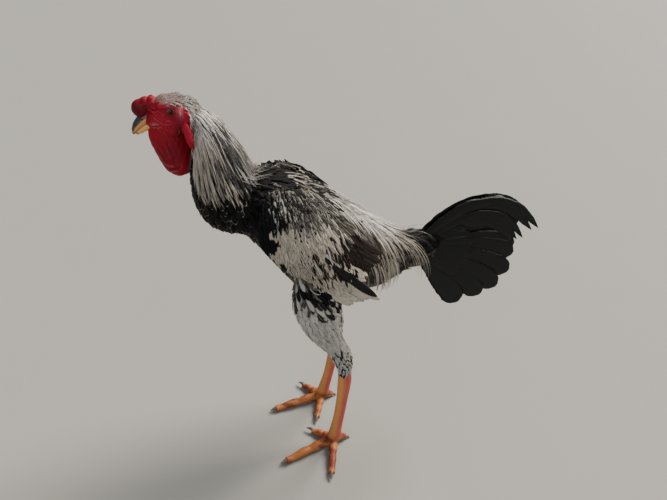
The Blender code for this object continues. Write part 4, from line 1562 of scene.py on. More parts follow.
def looks_at(points: np.ndarray, looks: tuple[Look, ...], pick: np.random.Generator,
             spread: float = .12) -> tuple[np.ndarray, np.ndarray, np.ndarray]:
    """Choose colours and markings for feathers from the looks near them.

    Args:
        points: a place for each feather.
        looks: looks to choose among.
        pick: source of chance.
        spread: how much the shade varies from feather to feather.

    Returns:
        Ground colours, mark colours and markings.
    """
    places = np.array([look.place for look in looks])
    radii = np.array([look.radius for look in looks])
    strength = np.array([look.strength for look in looks])
    gap = np.linalg.norm(folded(points)[:, None] - places[None], axis=2) / radii
    weight = strength * np.exp(-gap ** 2) + 1e-12
    chance = -np.log(pick.uniform(1e-6, 1, weight.shape)) / weight ** 3
    chosen = chance.argmin(1)
    ground = np.array([linear(look.ground) for look in looks])[chosen]
    mark = np.array([linear(look.mark) for look in looks])[chosen]
    plan = np.array([look.pattern.value for look in looks])[chosen]
    level = 1 + spread * pick.normal(size=(len(points), 1))
    ground[:, :3] *= np.clip(level, .6, 1.35)
    plan = plan * pick.uniform(.75, 1.25, plan.shape)
    return ground, mark, plan


@dataclass(frozen=True)
class Area:
    """An area of the flat sheet that a stretch of the bird is laid out on."""

    left: float
    low: float
    width: float
    height: float

    def spot(self, turn: np.ndarray, up: np.ndarray) -> np.ndarray:
        """Return places on the sheet for turns round the stretch and shares of its run."""
        return np.stack([self.left + self.width * turn, self.low + self.height * np.clip(up, 0, 1)], 1)


TRUNK_AREA = Area(.02, .02, .64, .96)
NECK_AREA = Area(.70, .52, .28, .46)
LEG_AREA = Area(.70, .02, .13, .46)
LEG_STEP = .15
TRUNK_AXIS = ((-.13, .495), (-.03, .435), (.05, .385), (.13, .376), (.22, .382))
TRUNK_START, TRUNK_RUN = -.2, .6
NECK_AXIS, NECK_LEAN, NECK_TOP = .185, .25, .6
NECK_START, NECK_RUN, NECK_FOOT, NECK_REAR = .5, .17, .52, -.10
LEG_AXIS, LEG_RUN, LEG_REAR = (.005, .055), .34, .07


def unwrap(points: np.ndarray) -> np.ndarray:
    """Lay places on the skin out flat: the trunk as one tube, neck and legs as their own.

    Args:
        points: places on the skin.

    Returns:
        Flat places between nought and one.
    """
    x, y, z = points.T
    axis = np.interp(x, *np.array(TRUNK_AXIS).T)
    trunk = TRUNK_AREA.spot(np.arctan2(y, z - axis) / TAU + .5, (x - TRUNK_START) / TRUNK_RUN)
    fore = x + NECK_AXIS + NECK_LEAN * (NECK_TOP - z)
    neck = NECK_AREA.spot(np.arctan2(y, fore) / TAU + .5, (z - NECK_START) / NECK_RUN)
    leg = LEG_AREA.spot(np.arctan2(np.abs(y) - LEG_AXIS[1], x - LEG_AXIS[0]) / TAU + .5, z / LEG_RUN)
    leg[:, 0] += LEG_STEP * (y > 0)
    flat = np.where((z > NECK_FOOT)[:, None] & (x < NECK_REAR)[:, None], neck, trunk)
    return np.where((z < LEG_RUN)[:, None] & (x < LEG_REAR)[:, None], leg, flat)


@dataclass
class Plumage:
    """Feathers gathered into one mesh, each a closed, cambered blade."""

    name: str
    finish: FeatherFinish
    columns: int
    thick: float = .00022
    batches: list = field(default_factory=list)

    def gather(self, line: np.ndarray, up: np.ndarray, half: np.ndarray, colours: tuple, root: np.ndarray,
               curl: float = .22) -> None:
        """Take in a batch of feathers.

        Args:
            line: shaft points of each feather, root to tip.
            up: the way each vane faces, at each shaft point.
            half: half width at each shaft point.
            colours: ground colours, mark colours and markings.
            root: place on the skin of each feather.
            curl: how far the rims curl down, as a share of the half width.
        """
        count, rings = line.shape[:2]
        step = np.gradient(line, axis=1)
        tangent = unit(step)
        across = unit(np.cross(np.broadcast_to(up, line.shape), tangent))
        face = np.cross(tangent, across)
        c = np.linspace(-1, 1, self.columns)
        lens = 1 - c ** 2
        top = (line[:, :, None] + across[:, :, None] * (half[..., None] * c)[..., None]
               - face[:, :, None] * (half[..., None] * curl * c ** 2)[..., None]
               + face[:, :, None] * (self.thick * lens)[None, None, :, None])
        inner = c[1:-1][::-1]
        bottom = (line[:, :, None] + across[:, :, None] * (half[..., None] * inner)[..., None]
                  - face[:, :, None] * (half[..., None] * curl * inner ** 2 + self.thick)[..., None])
        points = np.concatenate([top, bottom], 2)
        place = np.concatenate([c, inner])
        run = np.linalg.norm(np.diff(line, axis=1), axis=2).cumsum(1)
        run = np.concatenate([np.zeros((count, 1)), run], 1)
        share = run / run[:, -1:]
        size = len(place)
        vane = np.ones((count, rings, size, 4))
        vane[..., 0] = share[..., None]
        vane[..., 1] = (place + 1) / 2
        vane[..., 2] = run[..., None]
        ground, mark, plan = colours
        seed = np.random.default_rng(len(self.batches) + 5).uniform(0, 1, count)
        plans = np.concatenate([plan, seed[:, None]], 1)
        spread = (count, rings, size, 4)
        each = [np.broadcast_to(item[:, None, None], spread) for item in (ground, mark, plans)]
        uv = unwrap(root)[:, None, None] + PATCH * np.stack(np.broadcast_arrays(
            vane[..., 1] - .5, share[..., None] - .5), -1)
        self.batches.append((points, vane, *each, uv))

    def build(self) -> bpy.types.Object:
        """Make the mesh of every feather taken in.

        Returns:
            The object.
        """
        parts, tris, step = [[] for _ in range(6)], [], 0
        for batch in self.batches:
            count, rings, size = batch[0].shape[:3]
            index = np.arange(count * rings * size).reshape(count, rings, size) + step
            step += count * rings * size
            turn = np.roll(index, -1, 2)
            a, b, c, d = index[:, :-1], turn[:, :-1], turn[:, 1:], index[:, 1:]
            tris += [np.stack([a, b, c], -1).reshape(-1, 3), np.stack([a, c, d], -1).reshape(-1, 3)]
            for i in range(1, size - 1):
                tris.append(np.stack([index[:, 0, 0], index[:, 0, i + 1], index[:, 0, i]], -1))
                tris.append(np.stack([index[:, -1, 0], index[:, -1, i], index[:, -1, i + 1]], -1))
            for part, item in zip(parts, batch):
                part.append(np.reshape(item, (-1, item.shape[-1])))
        points, vane, ground, mark, plan, uv = (np.concatenate(part) for part in parts)
        faces = np.concatenate(tris)
        first = points[faces]
        if np.einsum("ij,ij->i", first[:, 0], np.cross(first[:, 1], first[:, 2])).sum() < 0:
            faces = faces[:, ::-1]
        mesh = bpy.data.meshes.new(self.name)
        mesh.vertices.add(len(points))
        mesh.vertices.foreach_set("co", points.astype(np.float32).ravel())
        mesh.loops.add(len(faces) * 3)
        mesh.polygons.add(len(faces))
        mesh.polygons.foreach_set("loop_start", np.arange(len(faces), dtype=np.int32) * 3)
        mesh.loops.foreach_set("vertex_index", faces.astype(np.int32).ravel())
        mesh.update(calc_edges=True)
        for name, item in (("vane", vane), ("ground", ground), ("mark", mark), ("plan", plan)):
            store(mesh, name, item)
        flat = mesh.uv_layers.new(name="OFBake")
        flat.data.foreach_set("uv", uv[faces.ravel()].astype(np.float32).ravel())
        mesh.shade_smooth()
        mesh.materials.append(self.finish.material())
        feathers = sum(len(batch[0]) for batch in self.batches)
        log.info("%s: %d feathers, %d triangles", self.name, feathers, len(faces))
        return new_object(self.name, mesh)


@dataclass
class Bed:
    """The body's surface that feathers grow on."""

    mesh: bpy.types.Mesh
    tree: BVHTree = field(init=False)

    def __post_init__(self) -> None:
        """Index the surface."""
        points = vectors_of(self.mesh)
        faces = [tuple(face.vertices) for face in self.mesh.polygons]
        self.tree = BVHTree.FromPolygons(points.tolist(), faces)

    def nearest(self, points: np.ndarray) -> tuple[np.ndarray, np.ndarray]:
        """Find the surface next to points.

        Args:
            points: places.

        Returns:
            The nearest places on the surface and their normals.
        """
        spots, ways = np.empty_like(points), np.empty_like(points)
        for i, point in enumerate(points.tolist()):
            spot, way, _, _ = self.tree.find_nearest(point)
            spots[i], ways[i] = spot, way
        return spots, ways

    def grow(self, roots: np.ndarray, ways: np.ndarray, length: np.ndarray, slope: np.ndarray | float,
             rings: int, hug: float = .45, droop: float = 0,
             start: float = .0005) -> tuple[np.ndarray, np.ndarray]:
        """Lead feathers from their roots along the surface.

        Args:
            roots: places of the roots.
            ways: directions they set out in.
            length: length of each feather.
            slope: how fast each rises from the surface.
            rings: points on each feather.
            hug: how strongly a feather that stands off bends back to the surface.
            droop: how strongly its weight bends it down.
            start: height of the root above the surface.

        Returns:
            Points of each feather, and the way its vane faces at each.
        """
        spots, faces = self.nearest(roots)
        step = (length / (rings - 1))[:, None]
        way = unit(ways - (ways * faces).sum(1, keepdims=True) * faces)
        place = spots + faces * start
        line, up = [place], [faces]
        facing = faces
        for k in range(1, rings):
            target = start + slope * length * (k / (rings - 1))
            ahead = place + way * step - UP * droop * step * (k / rings)
            spots, faces = self.nearest(ahead)
            height = ((ahead - spots) * faces).sum(1)
            lack = np.maximum(target - height, 0)
            excess = np.maximum(height - target, 0)
            new = ahead + faces * (lack - hug * excess)[:, None]
            way = unit(.35 * way + .65 * unit(new - place))
            place = place + unit(new - place) * step
            facing = unit(.6 * facing + .4 * faces)
            line.append(place)
            up.append(facing)
        return np.stack(line, 1), np.stack(up, 1)


def scattered(mesh: bpy.types.Mesh, gap_at: Callable[[np.ndarray], np.ndarray], pick: np.random.Generator,
              tightest: float, wanted: Callable[[np.ndarray], np.ndarray] | None = None) -> np.ndarray:
    """Scatter places over a surface, each clear of the next by the gap wanted there.

    Args:
        mesh: the surface.
        gap_at: function that gives the gap at places.
        pick: source of chance.
        tightest: the smallest gap.
        wanted: function that tells which places are wanted, or nothing for all.

    Returns:
        The places.
    """
    points = vectors_of(mesh)
    mesh.calc_loop_triangles()
    tris = np.array([tri.vertices[:] for tri in mesh.loop_triangles])
    triangles = points[tris]
    if wanted is not None:
        triangles = triangles[wanted(triangles.mean(1))]
    edges = triangles[:, 1:] - triangles[:, :1]
    area = np.linalg.norm(np.cross(edges[:, 0], edges[:, 1]), axis=1) / 2
    tries = 3.2  # for each place that could be kept
    count = int(area.sum() / tightest ** 2 * tries)
    chosen = pick.choice(len(triangles), count, p=area / area.sum())
    r, s = np.sqrt(pick.uniform(size=count)), pick.uniform(size=count)
    weights = np.stack([1 - r, r * (1 - s), r * s], 1)
    spots = (triangles[chosen] * weights[..., None]).sum(1)
    gaps = gap_at(spots)
    size = float(gaps.max())
    grid: dict[tuple[int, int, int], list[int]] = {}
    kept = []
    cells = np.floor(spots / size).astype(int)
    around = [(i, j, k) for i in (-1, 0, 1) for j in (-1, 0, 1) for k in (-1, 0, 1)]
    for n in range(count):
        i, j, k = cells[n]
        close = [m for a, b, c in around for m in grid.get((i + a, j + b, k + c), ())]
        if close:
            apart = ((spots[close] - spots[n]) ** 2).sum(1).min()
            if apart < gaps[n] ** 2:
                continue
        grid.setdefault((i, j, k), []).append(n)
        kept.append(n)
    return spots[kept]


BLACK, SOOT, BROWN = "060606", "100e0d", "1f1611"
CREAM, SILVER, WHITE = "ada393", "bdb9b0", "dcd8ce"
ASH, DOVE, FLUFF, TAN, RED = "5c5852", "8f8b83", "a19d95", "8d6f4c", "80202a"

COAT_LOOKS = (
    Look((-.170, .020, .530), .030, BLACK, SILVER, Pattern.LACED, 1.1),
    Look((-.152, .020, .505), .035, BLACK, DOVE, Pattern.EDGED, 1.),
    Look((-.131, .030, .470), .035, BLACK, DOVE, Pattern.EDGED),
    Look((-.150, .025, .490), .050, BLACK, SOOT, Pattern.PLAIN, .95),
    Look((-.098, .055, .500), .030, BLACK, SOOT, Pattern.PLAIN, 2.2),
    Look((-.100, .065, .470), .030, BLACK, SOOT, Pattern.PLAIN, 1.4),
    Look((-.095, .030, .425), .045, BLACK, DOVE, Pattern.EDGED, .8),
    Look((-.085, .060, .407), .030, BLACK, SILVER, Pattern.LACED),
    Look((-.060, .055, .372), .030, SOOT, ASH, Pattern.MOTTLED),
    Look((-.020, .020, .345), .050, DOVE, SOOT, Pattern.MOTTLED, .7),
    Look((.055, .066, .450), .022, ASH, DOVE, Pattern.MOTTLED, 1.),
    Look((.075, .064, .420), .022, DOVE, BROWN, Pattern.MOTTLED, .9),
    Look((-.070, .020, .545), .032, BLACK, SOOT, Pattern.PLAIN, 2.2),
    Look((-.072, .045, .528), .026, BLACK, DOVE, Pattern.PEPPERED, 1.5),
    Look((-.050, .010, .535), .022, BLACK, DOVE, Pattern.BLOTCHED, 1.1),
    Look((-.034, .020, .523), .024, DOVE, BLACK, Pattern.BLOTCHED, .9),
    Look((-.030, .035, .520), .030, BLACK, CREAM, Pattern.EDGED, .9),
    Look((-.040, .012, .532), .020, BLACK, SOOT, Pattern.PLAIN, 1.),
    Look((-.010, .025, .512), .024, DOVE, BLACK, Pattern.STREAKED, .9),
    Look((.010, .012, .500), .026, SOOT, DOVE, Pattern.FINE_STREAK, 1.),
    Look((.000, .030, .505), .034, BLACK, DOVE, Pattern.LACED, 1.1),
    Look((.023, .020, .490), .030, DOVE, BLACK, Pattern.STREAKED, .9),
    Look((.045, .035, .470), .026, BROWN, CREAM, Pattern.EDGED, .7),
    Look((.064, .020, .462), .036, DOVE, BLACK, Pattern.STREAKED, 1.),
    Look((.110, .030, .400), .036, SOOT, ASH, Pattern.MOTTLED, 1.),
    Look((.130, .015, .400), .030, BLACK, BROWN, Pattern.PLAIN, 1.2),
    Look((.120, .010, .345), .040, BROWN, ASH, Pattern.MOTTLED, 1.),
    Look((-.050, .071, .362), .026, FLUFF, DOVE, Pattern.PLAIN, 1.1),
    Look((-.050, .071, .362), .026, BLACK, SOOT, Pattern.PLAIN, 1.),
    Look((-.050, .071, .362), .026, FLUFF, BLACK, Pattern.STREAKED, .8),
    Look((-.026, .074, .350), .024, FLUFF, ASH, Pattern.PLAIN, 1.15),
    Look((-.026, .074, .352), .024, BLACK, SOOT, Pattern.PLAIN, .8),
    Look((-.026, .074, .350), .024, ASH, BLACK, Pattern.BLOTCHED, .9),
    Look((-.038, .070, .320), .027, FLUFF, DOVE, Pattern.PLAIN, 1.6),
    Look((-.015, .072, .300), .034, FLUFF, DOVE, Pattern.FINE_STREAK, 1.4),
    Look((-.010, .065, .265), .026, FLUFF, DOVE, Pattern.PLAIN, 1.2),
    Look((.024, .060, .290), .022, SILVER, WHITE, Pattern.PLAIN, 1.),
    Look((.008, .055, .226), .020, FLUFF, ASH, Pattern.PLAIN, 1.15),
    Look((.008, .055, .226), .020, SOOT, BLACK, Pattern.PLAIN, .85),
    Look((.016, .055, .202), .020, FLUFF, ASH, Pattern.PLAIN, 1.1),
    Look((.016, .055, .202), .020, SOOT, BLACK, Pattern.PLAIN, .95),
    Look((-.150, .030, .575), .030, CREAM, SOOT, Pattern.STREAKED, .8))

QUILL_LOOKS = (
    Look((-.004, .078, .384), .026, CREAM, ASH, Pattern.FINE_STREAK, 1.5),
    Look((.027, .078, .372), .022, CREAM, DOVE, Pattern.PLAIN, 1.4),
    Look((.036, .078, .442), .016, BROWN, BLACK, Pattern.STREAKED, 2.),
    Look((.024, .078, .460), .020, ASH, BROWN, Pattern.STREAKED, 1.2),
    Look((.048, .078, .428), .019, BROWN, BLACK, Pattern.STREAKED, 2.2),
    Look((.062, .078, .396), .020, BROWN, BLACK, Pattern.STREAKED, 2.))

WING_LOOKS = (
    Look((-.096, .070, .498), .022, BLACK, SOOT, Pattern.PLAIN, 2.),
    Look((-.090, .075, .470), .016, BLACK, SOOT, Pattern.PLAIN, 1.2),
    Look((-.068, .080, .530), .024, BLACK, DOVE, Pattern.PEPPERED, 1.7),
    Look((-.072, .083, .506), .024, BLACK, SILVER, Pattern.PEPPERED, 1.7),
    Look((-.048, .083, .508), .020, BLACK, DOVE, Pattern.PEPPERED, 1.3),
    Look((-.030, .078, .522), .012, SILVER, ASH, Pattern.MOTTLED, 1.6),
    Look((-.018, .074, .516), .007, RED, SOOT, Pattern.STREAKED, 2.4),
    Look((-.001, .078, .495), .006, RED, SOOT, Pattern.STREAKED, 2.6),
    Look((-.042, .080, .490), .018, ASH, BLACK, Pattern.STREAKED, 1.5),
    Look((-.062, .083, .492), .014, ASH, BLACK, Pattern.STREAKED, 1.2),
    Look((-.012, .074, .500), .018, DOVE, BLACK, Pattern.BLOTCHED, 1.1),
    Look((-.074, .085, .474), .018, CREAM, ASH, Pattern.FINE_STREAK, 1.4),
    Look((-.056, .085, .462), .024, CREAM, DOVE, Pattern.FINE_STREAK, 1.9),
    Look((-.045, .085, .474), .018, DOVE, SOOT, Pattern.STREAKED, 1.1),
    Look((-.067, .084, .442), .018, CREAM, ASH, Pattern.FINE_STREAK, 1.3),
    Look((-.072, .082, .430), .016, BLACK, SOOT, Pattern.PLAIN, .8),
    Look((-.030, .082, .478), .018, DOVE, SOOT, Pattern.STREAKED, 1.4),
    Look((-.026, .082, .458), .022, CREAM, BROWN, Pattern.FINE_STREAK, 1.7),
    Look((-.020, .082, .444), .022, BROWN, CREAM, Pattern.FINE_STREAK, 1.),
    Look((-.004, .082, .454), .018, CREAM, BROWN, Pattern.FINE_STREAK, 1.8),
    Look((.004, .082, .446), .018, CREAM, BROWN, Pattern.STREAKED, 1.4),
    Look((.010, .082, .430), .018, BROWN, DOVE, Pattern.FINE_STREAK, 1.7),
    Look((-.010, .082, .420), .024, CREAM, BROWN, Pattern.FINE_STREAK, 1.3),
    Look((-.004, .082, .410), .022, BROWN, CREAM, Pattern.FINE_STREAK, 1.2),
    Look((-.060, .084, .432), .020, CREAM, BLACK, Pattern.STREAKED, 1.1),
    Look((-.040, .082, .415), .024, CREAM, SOOT, Pattern.STREAKED, 1.3),
    Look((-.034, .082, .400), .024, CREAM, SOOT, Pattern.STREAKED, 1.1),
    Look((-.040, .082, .402), .022, SOOT, BROWN, Pattern.PLAIN, .8),
    Look((.008, .082, .412), .020, BROWN, BLACK, Pattern.PLAIN, 1.7),
    Look((.000, .082, .436), .020, BROWN, BLACK, Pattern.PLAIN, 1.5),
    Look((-.022, .082, .412), .018, BROWN, BLACK, Pattern.PLAIN, 1.2),
    Look((-.018, .082, .392), .018, SOOT, BROWN, Pattern.PLAIN, 1.),
    *QUILL_LOOKS[:4],
    Look((.050, .078, .424), .017, ASH, BROWN, Pattern.STREAKED, 1.1),
    *QUILL_LOOKS[4:],
    Look((.050, .079, .368), .011, BLACK, SOOT, Pattern.PLAIN, 3.))

BLACK_QUILL = (Look((.047, .079, .370), .014, BLACK, SOOT, Pattern.PLAIN),)

COAT_ZONES = (
    Zone((-.178, .000, .545), .026, (.25, 0, -1), .013, .0034, .0038),
    Zone((-.165, .020, .520), .030, (.30, 0, -1), .016, .0042, .0046),
    Zone((-.150, .020, .495), .035, (.35, .1, -1), .018, .0048, .0052),
    Zone((-.115, .030, .440), .045, (.55, .1, -1), .024, .0058, .0064),
    Zone((-.080, .040, .380), .045, (.8, .1, -.7), .023, .0044, .0054),
    Zone((-.030, .020, .345), .050, (1, 0, -.25), .026, .0065, .0085),
    Zone((.060, .010, .320), .060, (1, 0, .1), .030, .0060, .0080),
    Zone((.130, .010, .350), .045, (1, 0, .05), .034, .0060, .0072),
    Zone((-.075, .045, .525), .040, (.8, .1, -.5), .019, .0028, .0036),
    Zone((-.020, .010, .520), .050, (.9, 0, -.5), .026, .0034, .0044),
    Zone((.050, .015, .470), .050, (.85, .1, -.6), .034, .0034, .0050),
    Zone((.060, .065, .430), .040, (.65, .05, -.9), .034, .0056, .0066),
    Zone((.110, .030, .400), .040, (.8, .1, -.7), .036, .0052, .0066),
    Zone((-.075, .080, .500), .030, (.50, 0, -.85), .015, .0032, .0038),
    Zone((-.060, .085, .450), .036, (.40, 0, -.90), .018, .0046, .0048),
    Zone((-.010, .082, .440), .040, (.50, 0, -.85), .026, .0056, .0064),
    Zone((.035, .078, .390), .040, (.60, 0, -.80), .030, .0064, .0080),
    Zone((-.045, .065, .355), .030, (.20, 0, -1), .017, .0034, .0040, .08),
    Zone((-.020, .070, .310), .036, (.22, 0, -1), .024, .0022, .0031, .05),
    Zone((-.002, .066, .260), .030, (.25, 0, -1), .019, .0017, .0028, .05),
    Zone((.010, .060, .228), .020, (.15, 0, -1), .010, .0015, .0024, .07),
    Zone((.016, .055, .195), .018, (.10, 0, -1), .008, .0014, .0022, .08),
    Zone((-.150, .030, .580), .030, (.35, 0, -1), .014, .0026, .0036))


def blended(points: np.ndarray, zones: tuple[Zone, ...]) -> tuple[np.ndarray, ...]:
    """Blend the growth of feathers from the zones near each place.

    Args:
        points: places on the skin.
        zones: zones to blend.

    Returns:
        Directions, lengths, widths, gaps and slopes.
    """
    places = np.array([zone.place for zone in zones])
    radii = np.array([zone.radius for zone in zones])
    gap = np.linalg.norm(folded(points)[:, None] - places[None], axis=2) / radii
    weight = np.exp(-gap ** 2) + 1e-9 / (1 + gap)
    weight /= weight.sum(1, keepdims=True)
    side = np.sign(points[:, 1])[:, None]
    lie = weight @ np.array([zone.lie for zone in zones])
    lie[:, 1:2] *= side
    sizes = weight @ np.array([(zone.length, zone.width, zone.gap, zone.slope) for zone in zones])
    return lie, sizes[:, 0], sizes[:, 1], sizes[:, 2], sizes[:, 3]


@dataclass(frozen=True)
class Coat:
    """Short contour feathers over trunk, wings' flesh and thighs."""

    seed: int = 12
    tightest: float = .0030
    rings: int = 7
    throat: float = .535
    face_gap: float = .002
    under_wing: tuple[Span, Span, Span] = ((-.09, .06), (.060, .074), (.415, .47))
    stray: float = .16
    lengths: Span = (.82, 1.18)
    slopes: Span = (.7, 1.4)
    widths: Span = (.8, 1.2)
    ragged: float = .06
    thigh_top: float = .345
    fore_end: float = -.05

    def gaps(self, spots: np.ndarray) -> np.ndarray:
        """Return the gap that the zones want at each place."""
        return blended(spots, COAT_ZONES)[3]

    def build(self, bed: Bed) -> list[bpy.types.Object]:
        """Grow the feathers.

        Args:
            bed: surface they grow on.

        Returns:
            The coat's objects, split by place.
        """
        pick = np.random.default_rng(self.seed)
        roots = scattered(bed.mesh, self.gaps, pick, self.tightest)
        bare = (feathered(roots) < self.face_gap) & (roots[:, 2] > self.throat)
        low, high = np.array(self.under_wing).T
        hidden = ((folded(roots) > low) & (folded(roots) < high)).all(1)
        roots = roots[~bare & ~hidden & (above_hock(roots) > 0)]
        count = len(roots)
        lie, length, width, _, slope = blended(roots, COAT_ZONES)
        lie = unit(lie) + self.stray * pick.normal(size=lie.shape)
        length = length * pick.uniform(*self.lengths, count)
        line, up = bed.grow(roots, lie, length, slope * pick.uniform(*self.slopes, count), self.rings)
        colours = looks_at(line[:, self.rings // 2], COAT_LOOKS, pick)
        half = (width * pick.uniform(*self.widths, count))[:, None]
        half = half * Tip.ROUND.width(np.linspace(0, 1, self.rings))
        half = half * (1 + self.ragged * pick.normal(size=(count, self.rings)))
        region = np.where(roots[:, 2] < self.thigh_top, 2, np.where(roots[:, 0] < self.fore_end, 0, 1))
        made = []
        for number, (name, finish) in enumerate((
                ("coat_fore", CONTOUR_VANE), ("coat_rear", CONTOUR_VANE), ("coat_thighs", DOWN_VANE))):
            part = region == number
            plumage = Plumage(name, finish, 5)
            plumage.gather(line[part], up[part], half[part], tuple(c[part] for c in colours), roots[part])
            made.append(plumage.build())
        return made


HACKLE_LOOKS = (
    Look((-.152, .028, .630), .026, SILVER, ASH, Pattern.FINE_STREAK, 1.5),
    Look((-.158, .030, .605), .020, SILVER, ASH, Pattern.FINE_STREAK, 1.3),
    Look((-.149, .036, .615), .010, TAN, BROWN, Pattern.FINE_STREAK, 1.1),
    Look((-.138, .030, .625), .016, SILVER, BLACK, Pattern.STREAKED, 1.2),
    Look((-.128, .034, .605), .018, BLACK, SILVER, Pattern.LACED, 1.3),
    Look((-.140, .040, .597), .014, BLACK, DOVE, Pattern.LACED, 1.1),
    Look((-.118, .030, .600), .016, SILVER, BLACK, Pattern.STREAKED, 1.3),
    Look((-.140, .042, .583), .018, CREAM, SOOT, Pattern.STREAKED, 1.4),
    Look((-.124, .042, .573), .018, BLACK, DOVE, Pattern.LACED, 1.7),
    Look((-.117, .045, .553), .013, BLACK, SOOT, Pattern.PLAIN, 2.),
    Look((-.106, .045, .545), .016, SILVER, BLACK, Pattern.STREAKED, 1.5),
    Look((-.101, .030, .560), .020, DOVE, BLACK, Pattern.STREAKED, 1.),
    Look((-.168, .040, .568), .020, CREAM, ASH, Pattern.FINE_STREAK, 1.3),
    Look((-.150, .044, .562), .016, BLACK, DOVE, Pattern.FINE_STREAK, 1.2),
    Look((-.130, .044, .590), .012, BLACK, SILVER, Pattern.FINE_STREAK, 1.3),
    Look((-.155, .045, .555), .020, CREAM, SOOT, Pattern.STREAKED, 1.4),
    Look((-.155, .048, .540), .020, CREAM, SOOT, Pattern.FINE_STREAK, 1.5),
    Look((-.134, .050, .535), .022, CREAM, BLACK, Pattern.STREAKED, 1.5),
    Look((-.142, .050, .530), .018, BLACK, SOOT, Pattern.PLAIN, 1.),
    Look((-.110, .045, .535), .018, BLACK, SILVER, Pattern.LACED, 1.3))


@dataclass(frozen=True)
class Wisps:
    """A few thin pale feathers that stray from the cape's rear edge over the back."""

    count: int = 22
    turn: float = 1.2
    start: float = .50
    depth: float = .005
    way: Triple = (1., 0., -.45)
    stray: float = .24
    lengths: Span = (.036, .056)
    slope: float = .16
    height: float = .004
    half: float = .00045
    widths: Span = (.7, 1.2)

    def lay(self, plumage: Plumage, bed: Bed, pick: np.random.Generator, rings: int) -> None:
        """Lay the wisps.

        Args:
            plumage: where they go.
            bed: surface they lie on.
            pick: source of chance.
            rings: points on each.
        """
        angle = pick.uniform(-self.turn, self.turn, self.count)
        roots = NECK.point(np.full(self.count, self.start), angle, -self.depth)
        ways = np.array(self.way) + self.stray * pick.normal(size=roots.shape)
        length = pick.uniform(*self.lengths, self.count)
        line, up = bed.grow(roots, ways, length, self.slope, rings, hug=.1, start=self.height)
        half = self.half * pick.uniform(*self.widths, (self.count, 1))
        half = half * Tip.WISP.width(np.linspace(0, 1, rings))
        plumage.gather(line, up, half, looks_at(roots, HACKLE_LOOKS[:1], pick), roots, curl=.3)


